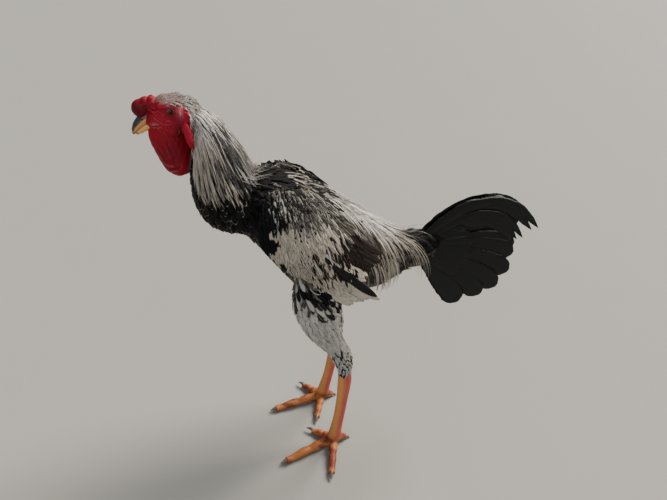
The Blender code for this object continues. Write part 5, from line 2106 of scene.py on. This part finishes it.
@dataclass(frozen=True)
class Cape:
    """Neck hackles: long narrow feathers that fall from nape and neck over the shoulders."""

    seed: int = 4
    rows: int = 46
    reach: float = 2.30
    rings: int = 10
    colour_ring: int = 6
    thick: float = .00012
    first: float = .002
    last: float = .104
    neck: float = .178
    depth: float = .005
    girth: float = .026
    girth_gain: float = .024
    gap: float = .0032
    gap_gain: float = .0008
    turn_stray: float = .04
    start_stray: float = .002
    hem_stray: float = .006
    front_rise: float = .016
    shortest: float = .024
    longest: float = .048
    least: float = .009
    lengths: Span = (.8, 1.2)
    widths: Span = (.75, 1.25)
    face_gap: float = .0005
    nape_half: float = .0009
    low_half: float = .0016
    lock: float = .15
    lock_wave: float = .4
    lock_pull: float = 1.1
    lock_stagger: float = .10
    gather_in: float = .06
    look_ahead: float = .08
    way_stray: float = .04
    slope: float = .100
    slope_gain: float = .02
    slope_stray: float = .02
    lock_round: float = .06
    hug: float = .75
    hug_loss: float = .55
    droop: float = .12
    root_height: float = .0005
    low_lift: float = .0030
    nape_lift: float = .0030
    dark_edge: float = .30
    dark_share: float = .85
    hang: float = .118
    side_turn: float = .9
    side_lift: float = .006
    front_turn: float = 1.3
    front_lift: float = .022

    def hem(self, angle: np.ndarray) -> np.ndarray:
        """Return how far down the neck the lowest tips hang, at turns from the back line."""
        side, front = (np.maximum(0, np.abs(angle) - turn) for turn in (self.side_turn, self.front_turn))
        return self.hang - self.side_lift * side - self.front_lift * front

    def build(self, bed: Bed) -> list[bpy.types.Object]:
        """Grow the hackles.

        Args:
            bed: surface they grow on.

        Returns:
            The cape's two halves, left and right.
        """
        pick = np.random.default_rng(self.seed)
        halves = [Plumage(f"hackles_{name}", HACKLE_VANE, 5, thick=self.thick) for name in SIDES.values()]
        for row in range(self.rows):
            self.lay_row(row / (self.rows - 1), halves, bed, pick)
        Wisps().lay(halves[0], bed, pick, self.rings)
        return [plumage.build() for plumage in halves]

    def lay_row(self, share: float, halves: list[Plumage], bed: Bed, pick: np.random.Generator) -> None:
        """Grow one row of hackles, gathered into locks with dark gaps between.

        Args:
            share: the row's place, nought at the nape and one at the lowest.
            halves: the left and the right half of the cape.
            bed: surface they grow on.
            pick: source of chance.
        """
        girth = self.girth + self.girth_gain * share
        count = int(2 * self.reach * girth / (self.gap + self.gap_gain * share))
        angle = np.linspace(-self.reach, self.reach, count) + pick.normal(size=count) * self.turn_stray
        start = self.first + share * (self.last - self.first) + pick.normal(size=count) * self.start_stray
        start -= self.front_rise * share * np.maximum(0, np.abs(angle) - 1.0)
        room = self.hem(angle) - start + self.hem_stray * pick.normal(size=count)
        length = between(self.shortest, self.longest, share ** .8)
        length = np.minimum(length * pick.uniform(*self.lengths, count), room)
        t = np.clip(start / self.neck, 0, 1)
        roots = NECK.point(t, angle, -self.depth)
        lock = angle / self.lock + self.lock_wave * np.sin(1.7 * angle + share)
        off = (lock % 1 - .5) * share
        bent = angle * (1 - self.gather_in * share) - self.lock_pull * off * self.lock
        ahead = NECK.point(np.clip(t + self.look_ahead, 0, 1), bent, -self.depth)
        length *= 1 + self.lock_stagger * np.sin(2.4 * np.floor(lock))
        keep = (length > self.least) & (feathered(roots) > self.face_gap)
        roots, ahead, length, off = roots[keep], ahead[keep], length[keep], off[keep]
        if not len(roots):
            return
        ways = unit(ahead - roots) + self.way_stray * pick.normal(size=roots.shape)
        slope = self.slope + self.slope_gain * share - self.lock_round * np.abs(off)
        slope = slope + self.slope_stray * pick.normal(size=len(roots))
        height = self.root_height + self.low_lift * share + self.nape_lift * math.sin(math.pi * share)
        line, up = bed.grow(roots, ways, length, slope, self.rings, hug=self.hug - self.hug_loss * share,
                            droop=self.droop, start=height)
        half = between(self.nape_half, self.low_half, share) * pick.uniform(*self.widths, len(roots))
        half = half[:, None] * Tip.POINTED.width(np.linspace(0, 1, self.rings))
        ground, mark, plan = looks_at(line[:, self.colour_ring], HACKLE_LOOKS, pick)
        in_gap = (np.abs(off) > self.dark_edge) & (pick.uniform(size=len(off)) < self.dark_share)
        ground[in_gap] = linear(SOOT)
        mark[in_gap] = linear(BLACK)
        for plumage, part in zip(halves, (roots[:, 1] < 0, roots[:, 1] >= 0)):
            colours = ground[part], mark[part], plan[part]
            plumage.gather(line[part], up[part], half[part], colours, roots[part], curl=.3)


SADDLE_LOOKS = (
    Look((.050, .020, .480), .034, SILVER, SOOT, Pattern.FINE_STREAK, 1.),
    Look((.085, .030, .445), .034, WHITE, ASH, Pattern.FINE_STREAK, 1.4),
    Look((.072, .045, .432), .020, ASH, BROWN, Pattern.STREAKED, 1.6),
    Look((.095, .050, .400), .034, CREAM, BLACK, Pattern.STREAKED, 1.2),
    Look((.090, .050, .400), .040, BROWN, BLACK, Pattern.PLAIN, .8),
    Look((.110, .050, .355), .034, CREAM, SOOT, Pattern.FINE_STREAK, 1.))


@dataclass(frozen=True)
class Saddle:
    """Saddle hackles: long thin feathers that fall from the lower back past wing and tail's base."""

    seed: int = 9
    count: int = 700
    rings: int = 12
    colour_ring: int = 8
    thick: float = .00014
    first: float = .44
    last: float = .70
    reach: float = 1.40
    narrowing: float = .25
    depth: float = .008
    look_ahead: float = .06
    spread: float = 1.06
    fall: float = 1.15
    wisp_fall: float = .1
    stray: float = .09
    shortest: float = .045
    longest: float = .093
    wisp_lengths: Span = (1., 1.5)
    slope: float = .08
    slope_stray: float = .03
    hug: float = .25
    droop: float = .7
    height: float = .002
    half: float = .0012
    wisp_half: float = .45
    widths: Span = (.7, 1.25)
    wisps: int = 36

    def build(self, bed: Bed) -> bpy.types.Object:
        """Grow the saddle hackles.

        Args:
            bed: surface they grow on.

        Returns:
            The saddle's object.
        """
        pick = np.random.default_rng(self.seed)
        count, run = self.count, self.last - self.first
        t = self.first + run * pick.uniform(size=count)
        t[:self.wisps] = self.last
        angle = pick.uniform(-self.reach, self.reach, count) * (1 - self.narrowing * (t - self.first))
        angle[:self.wisps] *= .5
        roots = TORSO.point(t, angle, -self.depth)
        ahead = TORSO.point(np.clip(t + self.look_ahead, 0, 1), angle * self.spread, -self.depth)
        wisp = np.arange(count) < self.wisps
        fall = np.where(wisp, self.wisp_fall, self.fall) * np.abs(np.sin(angle))
        ways = unit(ahead - roots) - UP * fall[:, None]
        ways += self.stray * pick.normal(size=roots.shape)
        share = (t - self.first) / run
        length = self.shortest + (self.longest - self.shortest) * share * pick.uniform(.5, 1, count)
        length = np.where(wisp, self.longest * pick.uniform(*self.wisp_lengths, count), length)
        slope = self.slope + self.slope_stray * pick.normal(size=count)
        line, up = bed.grow(roots, ways, length, slope, self.rings, hug=self.hug, droop=self.droop,
                            start=self.height)
        half = np.where(wisp, self.wisp_half, 1) * self.half * pick.uniform(*self.widths, count)
        half = half[:, None] * Tip.POINTED.width(np.linspace(0, 1, self.rings))
        plumage = Plumage("saddle_hackles", HACKLE_VANE, 5, thick=self.thick)
        colours = looks_at(line[:, self.colour_ring], SADDLE_LOOKS, pick)
        plumage.gather(line, up, half, colours, roots, curl=.3)
        return plumage.build()


@dataclass(frozen=True)
class Row:
    """A row of wing feathers in the wing's own chart, from its first feather to its last."""

    count: int
    first_root: Span
    first_tip: Span
    last_root: Span
    last_tip: Span
    half: float
    out: float
    rise: float = .0028
    looks: tuple[Look, ...] = QUILL_LOOKS


WING_ROWS = (
    Row(9, (.105, .040), (.196, .036), (.112, .010), (.226, -.002), .0080, -.0072, .0034),
    Row(17, (.092, .036), (.184, .026), (.096, -.038), (.182, -.047), .0064, -.0048, .0034),
    Row(1, (.110, .005), (.220, .002), (.110, .005), (.220, .002), .0062, -.0022, .0026, BLACK_QUILL))


COVERT_LOW = (
    (-.006, .004), (.006, .026), (.026, .042), (.052, .047), (.080, .045), (.112, .038), (.140, .028))
COVERT_HIGH = (
    (-.006, -.010), (.004, -.024), (.020, -.040), (.044, -.049), (.074, -.052), (.104, -.048), (.130, -.036))


@dataclass(frozen=True)
class Wing:
    """Folded quills under many small coverts, which hang straighter down than the quills."""

    seed: int = 31
    rings: int = 18
    covert_rings: int = 8
    gap: float = .0036
    last: float = .150
    level: float = -.0042
    rise: float = .085
    short: float = .014
    long: float = .030
    narrow: float = .0022
    broad: float = .0036
    turn: float = .62
    turn_edge: Span = (-.050, -.010)
    turn_stray: float = .09
    bend: float = .10
    first: float = -.006
    across: Span = (-.052, .050)
    jitter: float = .4
    rises: Span = (.6, 1.5)
    tuck: float = .010
    tuck_depth: float = .3
    lengths: Span = (.8, 1.2)
    widths: Span = (.75, 1.2)
    fine: Span = (.25, .5)
    fine_end: float = .06
    ragged: float = .07
    colour_ring: int = 5
    tip_stray: float = .0032
    sag: float = .002
    step: float = .0009
    wave: float = .0003
    quill_ragged: float = .03
    quill_colour: float = .8

    @staticmethod
    def place(u: np.ndarray, v: np.ndarray, out: np.ndarray, side: int) -> tuple[np.ndarray, np.ndarray]:
        """Put feathers of the wing's chart in space.

        Args:
            u: distances along the quills at each shaft point.
            v: distances down across them.
            out: heights above the face.
            side: minus one for the left wing.

        Returns:
            Shaft points, and the way each vane faces.
        """
        line = WING.point(u, v, out, side)
        raised = WING.point(u, v, out + .001, side)
        beside = WING.point(u, v + .001, out, side)
        up = unit(np.cross(unit(np.gradient(line, axis=1)), beside - line))
        return line, up * np.sign(((raised - line) * up).sum(-1, keepdims=True))

    def coverts(self, plumage: Plumage, side: int, pick: np.random.Generator) -> None:
        """Lay the coverts.

        Args:
            plumage: where they go.
            side: minus one for the left wing.
            pick: source of chance.
        """
        along_quills = np.arange(self.first, self.last, self.gap)
        u, v = np.meshgrid(along_quills, np.arange(*self.across, self.gap), indexing="ij")
        u, v = u.ravel(), v.ravel()
        u = u + self.gap * self.jitter * pick.normal(size=u.shape)
        v = v + self.gap * self.jitter * pick.normal(size=v.shape)
        low, high = (np.interp(u, *np.array(edge).T) for edge in (COVERT_LOW, COVERT_HIGH))
        keep = (v < low) & (v > high)
        u, v = u[keep][:, None], v[keep][:, None]
        count = len(u)
        far = smooth(0, self.last, u)
        length = between(self.short, self.long, far) * pick.uniform(*self.lengths, (count, 1))
        angle = self.turn * (1 - .5 * far) * smooth(*self.turn_edge, v)
        angle = angle + self.turn_stray * pick.normal(size=(count, 1))
        a = np.linspace(0, 1, self.covert_rings)[None]
        bend = angle + self.bend * a * pick.normal(size=(count, 1))
        tucked = self.tuck * np.maximum(0, self.tuck - u) / self.tuck * self.tuck_depth
        out = self.level + self.rise * length * a * pick.uniform(*self.rises, (count, 1)) - tucked
        line, up = self.place(u + length * a * np.cos(bend), v + length * a * np.sin(bend), out, side)
        half = between(self.narrow, self.broad, far) * pick.uniform(*self.widths, (count, 1))
        fine = self.fine[0] + self.fine[1] * smooth(0, self.fine_end, u)
        half = half * (Tip.ROUND.width(a) * (1 - fine) + Tip.POINTED.width(a) * fine)
        half *= 1 + self.ragged * pick.normal(size=(count, self.covert_rings))
        colours = looks_at(line[:, self.colour_ring], WING_LOOKS, pick)
        plumage.gather(line, up, half, colours, line[:, 0], curl=.15)

    def build(self, side: int) -> list[bpy.types.Object]:
        """Lay quills and coverts.

        Args:
            side: minus one for the left wing.

        Returns:
            The wing's objects.
        """
        pick = np.random.default_rng(self.seed + side)
        name = SIDES[side]
        quills = Plumage(f"wing_quills_{name}", FLIGHT_VANE, 9)
        a = np.linspace(0, 1, self.rings)[None]
        for row in WING_ROWS:
            t = np.linspace(0, 1, row.count)[:, None]
            root = np.array(row.first_root) * (1 - t) + np.array(row.last_root) * t
            tip = np.array(row.first_tip) * (1 - t) + np.array(row.last_tip) * t
            tip = tip + pick.normal(size=tip.shape) * (self.tip_stray if row.count > 1 else 0)
            u = root[:, :1] * (1 - a) + tip[:, :1] * a
            v = root[:, 1:] * (1 - a) + tip[:, 1:] * a + self.sag * np.sin(np.pi * a)
            out = row.out + row.rise * a + self.step * t + self.wave * np.sin(3 * TAU * t)
            line, up = self.place(u, v, out, side)
            ragged = 1 + self.quill_ragged * pick.normal(size=(row.count, self.rings))
            half = row.half * Tip.ROUND.width(a) * ragged
            colours = looks_at(line[:, int(self.rings * self.quill_colour)], row.looks, pick, spread=.07)
            quills.gather(line, up, half, colours, line[:, 0], curl=.12)
        coverts = Plumage(f"wing_coverts_{name}", CONTOUR_VANE, 5)
        self.coverts(coverts, side, pick)
        return [quills.build(), coverts.build()]


RECTRICES = (
    (26, .178), (16.5, .192), (7, .194), (-3, .193), (-15, .188), (-28, .173), (-41, .149))
TAIL_COVERTS = ((28, .098), (14, .108), (0, .112), (-14, .106), (-28, .094))
SICKLE = ((.020, .012), (.045, .036), (.093, .064), (.145, .068), (.190, .052), (.224, .019))
LESSER_SICKLE = ((.020, .006), (.050, .026), (.098, .046), (.142, .046), (.175, .030), (.198, .004))


@dataclass(frozen=True)
class Tail:
    """Steering feathers, coverts and sickles, black with a dull sheen and a painted blue sheen."""

    seed: int = 77
    quills: int = 9
    coverts: int = 18
    quill_half: float = .0210
    covert_half: float = .0095
    sickle_half: float = .0120
    lesser: float = .85
    droop: float = .10
    angle_stray: float = 1.2
    lengths: Span = (.96, 1.02)
    step: float = .0012
    wave: float = .0006
    ragged: float = .025
    sickle_rings: int = 40
    sickle_ragged: float = .05
    sickle_out: float = .0022
    sickle_step: float = .0006
    sickle_shift: float = .002
    sickle_shrink: float = .05
    ground: str = "030405"
    # The dark blue mark, laid as blots and a thin rim, is painted sheen standing in for the blue-green gloss
    # of the black feathers.
    mark: str = "0c121b"
    markings: Triple = (0., .05, .30)

    def fan(self, rows: tuple, count: int, start: float, side: int, out: float,
            pick: np.random.Generator, rings: int) -> np.ndarray:
        """Lay a fan of feathers in the tail's chart.

        Args:
            rows: angle and length from the top feather to the lowest.
            count: how many feathers.
            start: distance of the first point from the root.
            side: minus one for the left face.
            out: height above the face.
            pick: source of chance.
            rings: points on each feather.

        Returns:
            Points of each feather.
        """
        row = along(np.array(rows), np.linspace(0, 1, count))
        angle = np.radians(row[:, :1] + pick.normal(size=(count, 1)) * self.angle_stray)
        length = row[:, 1:] * pick.uniform(*self.lengths, (count, 1))
        a = np.linspace(0, 1, rings)[None]
        run = start + (length - start) * a
        bend = angle - self.droop * a ** 2
        level = out + self.step * np.linspace(0, 1, count)[:, None] + self.wave * np.sin(4 * a)
        return TAIL.point(run * np.cos(bend), run * np.sin(bend), level, side)

    def build(self) -> bpy.types.Object:
        """Lay every tail feather.

        Returns:
            The tail's object.
        """
        pick = np.random.default_rng(self.seed)
        plumage = Plumage("tail_feathers", TAIL_VANE, 9)
        for side in (-1, 1):
            face = np.array((0., side, 0.))
            for rows, count, start, out, half, rings in (
                    (RECTRICES, self.quills, .012, -.004, self.quill_half, 34),
                    (TAIL_COVERTS, self.coverts, .004, .0005, self.covert_half, 18)):
                line = self.fan(rows, count, start, side, out, pick, rings)
                a = np.linspace(0, 1, rings)
                widths = half * Tip.FAN.width(a) * (1 + self.ragged * pick.normal(size=(count, rings)))
                self.lay(plumage, line, face, widths, pick)
            lesser_half = self.sickle_half * self.lesser
            for curve, count, half in ((SICKLE, 2, self.sickle_half), (LESSER_SICKLE, 3, lesser_half)):
                for i in range(count):
                    self.lay_sickle(plumage, np.array(curve), i, side, half, pick)
        return plumage.build()

    def lay_sickle(self, plumage: Plumage, curve: np.ndarray, i: int, side: int, half: float,
                   pick: np.random.Generator) -> None:
        """Lay one long curved feather.

        Args:
            plumage: where it goes.
            curve: its line in the tail's chart.
            i: its number among those that share the line.
            side: minus one for the left face.
            half: its half width.
            pick: source of chance.
        """
        a = np.linspace(0, 1, self.sickle_rings)
        spots = along(curve, a)
        shrink = 1 - self.sickle_shrink * i
        out = self.sickle_out - self.sickle_step * i
        line = TAIL.point(spots[:, 0] * shrink, spots[:, 1] * shrink - self.sickle_shift * i, out, side)
        widths = half * (.55 + .45 * smooth(0, .3, a)) * np.clip(1 - a ** 5, .03, 1)
        widths = widths * (1 + self.sickle_ragged * pick.normal(size=self.sickle_rings))
        self.lay(plumage, line[None], np.array((0., side, 0.)), widths[None], pick)

    def lay(self, plumage: Plumage, line: np.ndarray, face: np.ndarray, widths: np.ndarray,
            pick: np.random.Generator) -> None:
        """Add black feathers to the tail.

        Args:
            plumage: where they go.
            line: points of each feather.
            face: the way they face.
            widths: half widths.
            pick: source of chance.
        """
        count = len(line)
        ground = np.tile(linear(self.ground), (count, 1))
        ground[:, :3] *= pick.uniform(.8, 1.3, (count, 1))
        mark = np.tile(linear(self.mark), (count, 1))
        plan = np.tile(self.markings, (count, 1))
        plumage.gather(line, face, widths, (ground, mark, plan), line[:, 0], curl=.10)


CROWN_LOOKS = (
    Look((-.195, .005, .655), .014, "9a8f89", ASH, Pattern.FINE_STREAK, 1.),
    Look((-.182, .010, .655), .018, "b3aba5", ASH, Pattern.FINE_STREAK, 1.),
    Look((-.175, .012, .648), .016, DOVE, ASH, Pattern.PLAIN, .9),
    Look((-.168, .016, .645), .018, SILVER, ASH, Pattern.PLAIN, 1.),
    Look((-.160, .018, .625), .018, SILVER, ASH, Pattern.PLAIN, 1.),
    Look((-.160, .020, .605), .018, SILVER, ASH, Pattern.FINE_STREAK, 1.),
    Look((-.150, .010, .635), .018, SILVER, SOOT, Pattern.FINE_STREAK, .8))


@dataclass(frozen=True)
class Crown:
    """Short fine feathers from behind the comb over crown and nape to the first hackles."""

    seed: int = 15
    gap: float = .0015
    lowest: float = .585
    rearmost: float = -.150
    front: float = -.203
    shortest: float = .0042
    longest: float = .0160
    half: float = .00055
    ragged: float = .0013
    rings: int = 6
    thick: float = .00008
    rear: float = -.145
    top: float = .645
    fall: float = .4
    stray: float = .22
    lengths: Span = (.7, 1.3)
    slope: float = .34
    slope_loss: float = .26
    hug: float = .8
    depth: float = .0003
    broader: float = .9

    def wanted(self, spots: np.ndarray) -> np.ndarray:
        """Tell which places carry these feathers, whose edge is ragged."""
        edge = self.ragged * ripple(spots, .006, 8)
        return (feathered(spots) > edge) & (spots[:, 2] > self.lowest) & (spots[:, 0] < self.rearmost)

    def gaps(self, spots: np.ndarray) -> np.ndarray:
        """Return the same gap for every place."""
        return np.full(len(spots), self.gap)

    def build(self, bed: Bed) -> bpy.types.Object:
        """Grow the feathers.

        Args:
            bed: surface they grow on.

        Returns:
            The crown's object.
        """
        pick = np.random.default_rng(self.seed)
        roots = scattered(bed.mesh, self.gaps, pick, self.gap, self.wanted)
        below = np.maximum(0, self.top - roots[:, 2])
        back = smooth(self.front, self.rear, roots[:, 0] + self.fall * below)
        lie = np.stack([1 - .6 * back, 0 * back, -.10 - .9 * back], 1)
        ways = lie + self.stray * pick.normal(size=roots.shape)
        count = len(roots)
        length = between(self.shortest, self.longest, back) * pick.uniform(*self.lengths, count)
        slope = self.slope - self.slope_loss * back
        line, up = bed.grow(roots, ways, length, slope, self.rings, hug=self.hug, start=-self.depth)
        half = (self.half * (1 + self.broader * back) * pick.uniform(*self.lengths, count))[:, None]
        half = half * Tip.WISP.width(np.linspace(0, 1, self.rings))
        plumage = Plumage("crown_feathers", DOWN_VANE, 3, thick=self.thick)
        plumage.gather(line, up, half, looks_at(roots, CROWN_LOOKS, pick), roots)
        return plumage.build()


# Horn

def horned(made: bpy.types.Object, rows: np.ndarray, steps: int, high: np.ndarray,
           finish: HornFinish) -> None:
    """Store how far along and how near the ridge each point lies, and give the piece its horn.

    Args:
        made: the piece.
        rows: its rows, root to tip.
        steps: how finely its length is told.
        high: nearness to the ridge, nought to one where it is not past either.
        finish: its horn.
    """
    points = vectors_of(made.data)
    path = along(rows, np.linspace(0, 1, steps))[:, :3]
    horn = np.ones((len(points), 4))
    horn[:, 0] = np.linalg.norm(points[:, None] - path[None], axis=2).argmin(1) / (steps - 1)
    horn[:, 1] = np.clip(high, 0, 1)
    store(made.data, "horn", horn)
    finished(made, finish.material())


@dataclass(frozen=True)
class Beak:
    """The hooked beak, upper and lower half."""

    nostril: Triple = (-.2232, .0072, .6215)
    nostril_radii: Triple = (.0016, .0016, .0009)
    nostril_pitch: float = 38
    ridge_way: Triple = (-.62, 0, .78)
    ridge_pinch: float = .25
    wear: Crinkle = Crinkle(.00012, .008, 2, (1, 3, 3))

    def half(self, name: str, bands: tuple, finish: HornFinish, hook: float) -> bpy.types.Object:
        """Build one half of the beak.

        Args:
            name: name of the object.
            bands: its rows.
            finish: its horn.
            hook: how much the rings narrow to a ridge.

        Returns:
            The object.
        """
        tube = band_tube(np.array(bands), 44, 36, 2 - hook)
        made = new_object(name, tube.mesh(name))
        points, lift = vectors_of(made.data), vectors_of(made.data, "normal")
        horned(made, np.array(bands), 90, .5 + .5 * (lift @ self.ridge_way), finish)
        put_points(made.data, points + lift * self.wear.press(points)[:, None])
        return made

    def build(self, head: Head) -> list[bpy.types.Object]:
        """Build both halves.

        Args:
            head: the head they grow from.

        Returns:
            The two objects.
        """
        upper = self.half("upper_beak", head.upper_beak, BEAK_HORN, self.ridge_pinch)
        for side in (-1, 1):
            x, y, z = self.nostril
            hole = ball((x, side * y, z), self.nostril_radii, self.nostril_pitch, rings=10)
            joined(upper, new_object("nostril", hole.mesh("nostril")), "DIFFERENCE")
        return [upper, self.half("lower_beak", head.lower_beak, LOWER_BEAK_HORN, 0)]


def claw(name: str, rows: np.ndarray) -> bpy.types.Object:
    """Build one claw: a curved horn cone, ridged above.

    Args:
        name: name of the object.
        rows: its rows.

    Returns:
        The object.
    """
    made = new_object(name, band_tube(rows, 26, 20, 1.8).mesh(name))
    points = vectors_of(made.data)
    points[:, 2] = np.maximum(points[:, 2], 0)
    put_points(made.data, points)
    high = vectors_of(made.data, "normal")[:, 2] * .5 + .45
    horned(made, rows, 50, high, CLAW_HORN)
    return made


# Studio

@dataclass(frozen=True)
class Studio:
    """A plain pale floor, a wide soft light behind on the right, a weak one in front, and the camera."""

    floor_low: Span = (-14., -8.)
    floor_high: Span = (14., 26.)
    camera_place: Triple = (-.1387, -.6112, .800)
    camera_way: Triple = (.20366, .81685, -.53970)
    lens: float = 26.015
    sensor: float = 36.
    squares: int = 23
    gap: float = .0002
    window: Triple = (1.0, .35, 1.15)
    window_softness: float = 32
    window_strength: float = 9.5
    window_colour: str = "fff6ea"
    front: Triple = (-.9, -1.9, .85)
    front_softness: float = 70
    front_strength: float = 1.5
    front_colour: str = "eef3ff"
    air_colour: str = "e4e6ea"
    air_strength: float = .42

    def floor(self, shift: np.ndarray) -> bpy.types.Object:
        """Build the floor: one flat sheet that reaches past the picture on every side.

        Args:
            shift: the bird's place in the frame.

        Returns:
            The floor.
        """
        count = self.squares + 1
        across = np.linspace(self.floor_low[0], self.floor_high[0], count)
        back = np.linspace(self.floor_low[1], self.floor_high[1], count)
        grid = np.stack([*np.meshgrid(across, back, indexing="ij"), np.full((count, count), -self.gap)], -1)
        faces = [(i * count + j, (i + 1) * count + j, (i + 1) * count + j + 1, i * count + j + 1)
                 for i in range(count - 1) for j in range(count - 1)]
        made = new_object("floor", Shape(grid.reshape(-1, 3) + shift * (1, 1, 0), faces).mesh("floor"))
        made.data.materials.append(FloorFinish().material())
        return made

    def lamp(self, name: str, place: Triple, softness: float, strength: float,
             colour: str) -> None:
        """Hang one wide soft light so far off that it lights the whole floor alike.

        Args:
            name: name of the light.
            place: the way it comes from.
            softness: the angle it fills, in degrees.
            strength: its power on a square metre.
            colour: hex colour of its light.
        """
        data = bpy.data.lights.new(name, "SUN")
        data.angle = math.radians(softness)
        data.energy = strength
        data.color = linear(colour)[:3]
        made = bpy.data.objects.new(name, data)
        made.rotation_euler = (-Vector(place)).to_track_quat("-Z", "Y").to_euler()
        bpy.context.scene.collection.objects.link(made)

    def build(self, shift: np.ndarray) -> None:
        """Set floor, lights, sky and camera.

        Args:
            shift: the bird's place in the frame.
        """
        self.floor(shift)
        self.lamp("window light", self.window, self.window_softness, self.window_strength, self.window_colour)
        self.lamp("front light", self.front, self.front_softness, self.front_strength, self.front_colour)
        world = bpy.data.worlds.new("studio air")
        world.use_nodes = True
        back = world.node_tree.nodes["Background"]
        back.inputs["Color"].default_value = linear(self.air_colour)
        back.inputs["Strength"].default_value = self.air_strength
        bpy.context.scene.world = world
        data = bpy.data.cameras.new("camera")
        data.lens = self.lens
        data.sensor_width = self.sensor
        made = bpy.data.objects.new("camera", data)
        made.location = Vector(self.camera_place) + Vector(shift)
        made.rotation_euler = Vector(self.camera_way).to_track_quat("-Z", "Y").to_euler()
        bpy.context.scene.collection.objects.link(made)
        bpy.context.scene.camera = made


def settle(made: bpy.types.Object, shift: np.ndarray, slot: str, nodes: tuple[str, ...] = ()) -> None:
    """Move a piece into the frame, hang it on the root and hide the solids it stands for.

    Args:
        made: the piece.
        shift: the bird's place in the frame.
        slot: the name of the record's material slot; not used.
        nodes: solids it stands for.
    """
    put_points(made.data, vectors_of(made.data) + shift)
    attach(made, "root")
    if nodes:
        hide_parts(*nodes)
    log.info("%s: %d faces", made.name, len(made.data.polygons))


def main() -> None:
    """Build the bird, piece by piece, and hand it to the frame."""
    logging.basicConfig(level=logging.INFO, format="%(message)s")
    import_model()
    head = Head()
    low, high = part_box("eye_left")
    shift = np.array([(low[i] + high[i]) / 2 for i in range(3)]) - head.eye
    Studio().build(shift)
    skin, body = Skin().build(head)
    bed = Bed(body.data)
    flesh = ["torso", "neck", "head", "comb", "dewlap"]
    for side in SIDES.values():
        flesh += [f"earlobe_{side}", f"wing_{side}", f"thigh_{side}", f"shank_{side}"]
        flesh += [f"toe_{side}_{toe}" for toe in ("inner", "middle", "outer", "hallux")]
    coat = Coat().build(bed)
    settle(coat[0], shift, "plumage")
    settle(coat[1], shift, "plumage")
    settle(coat[2], shift, "thigh")
    whole = Bed(skin.data)
    for made in Cape().build(whole):
        settle(made, shift, "hackle")
    settle(Saddle().build(bed), shift, "hackle")
    settle(Crown().build(whole), shift, "hackle")
    settle(Tail().build(), shift, "tail", ("tail",))
    settle(skin, shift, "bare_skin", tuple(flesh))
    for side, name in SIDES.items():
        for made in Wing().build(side):
            settle(made, shift, "wing")
        settle(head.eyeball(side), shift, "eye", (f"eye_{name}",))
    halves = (("beak_dark", "beak_upper"), ("beak_pale", "beak_lower"))
    for made, (slot, node) in zip(Beak().build(head), halves):
        settle(made, shift, slot, (node,))
    for foot in (LEFT_FOOT, RIGHT_FOOT):
        for toe, (_, nail) in foot.lines().items():
            name = f"claw_{SIDES[foot.side]}_{toe}"
            settle(claw(f"horn_{name}", nail), shift, "claw", (name,))
    bpy.data.objects.remove(body)


if __name__ == "__main__":
    main()
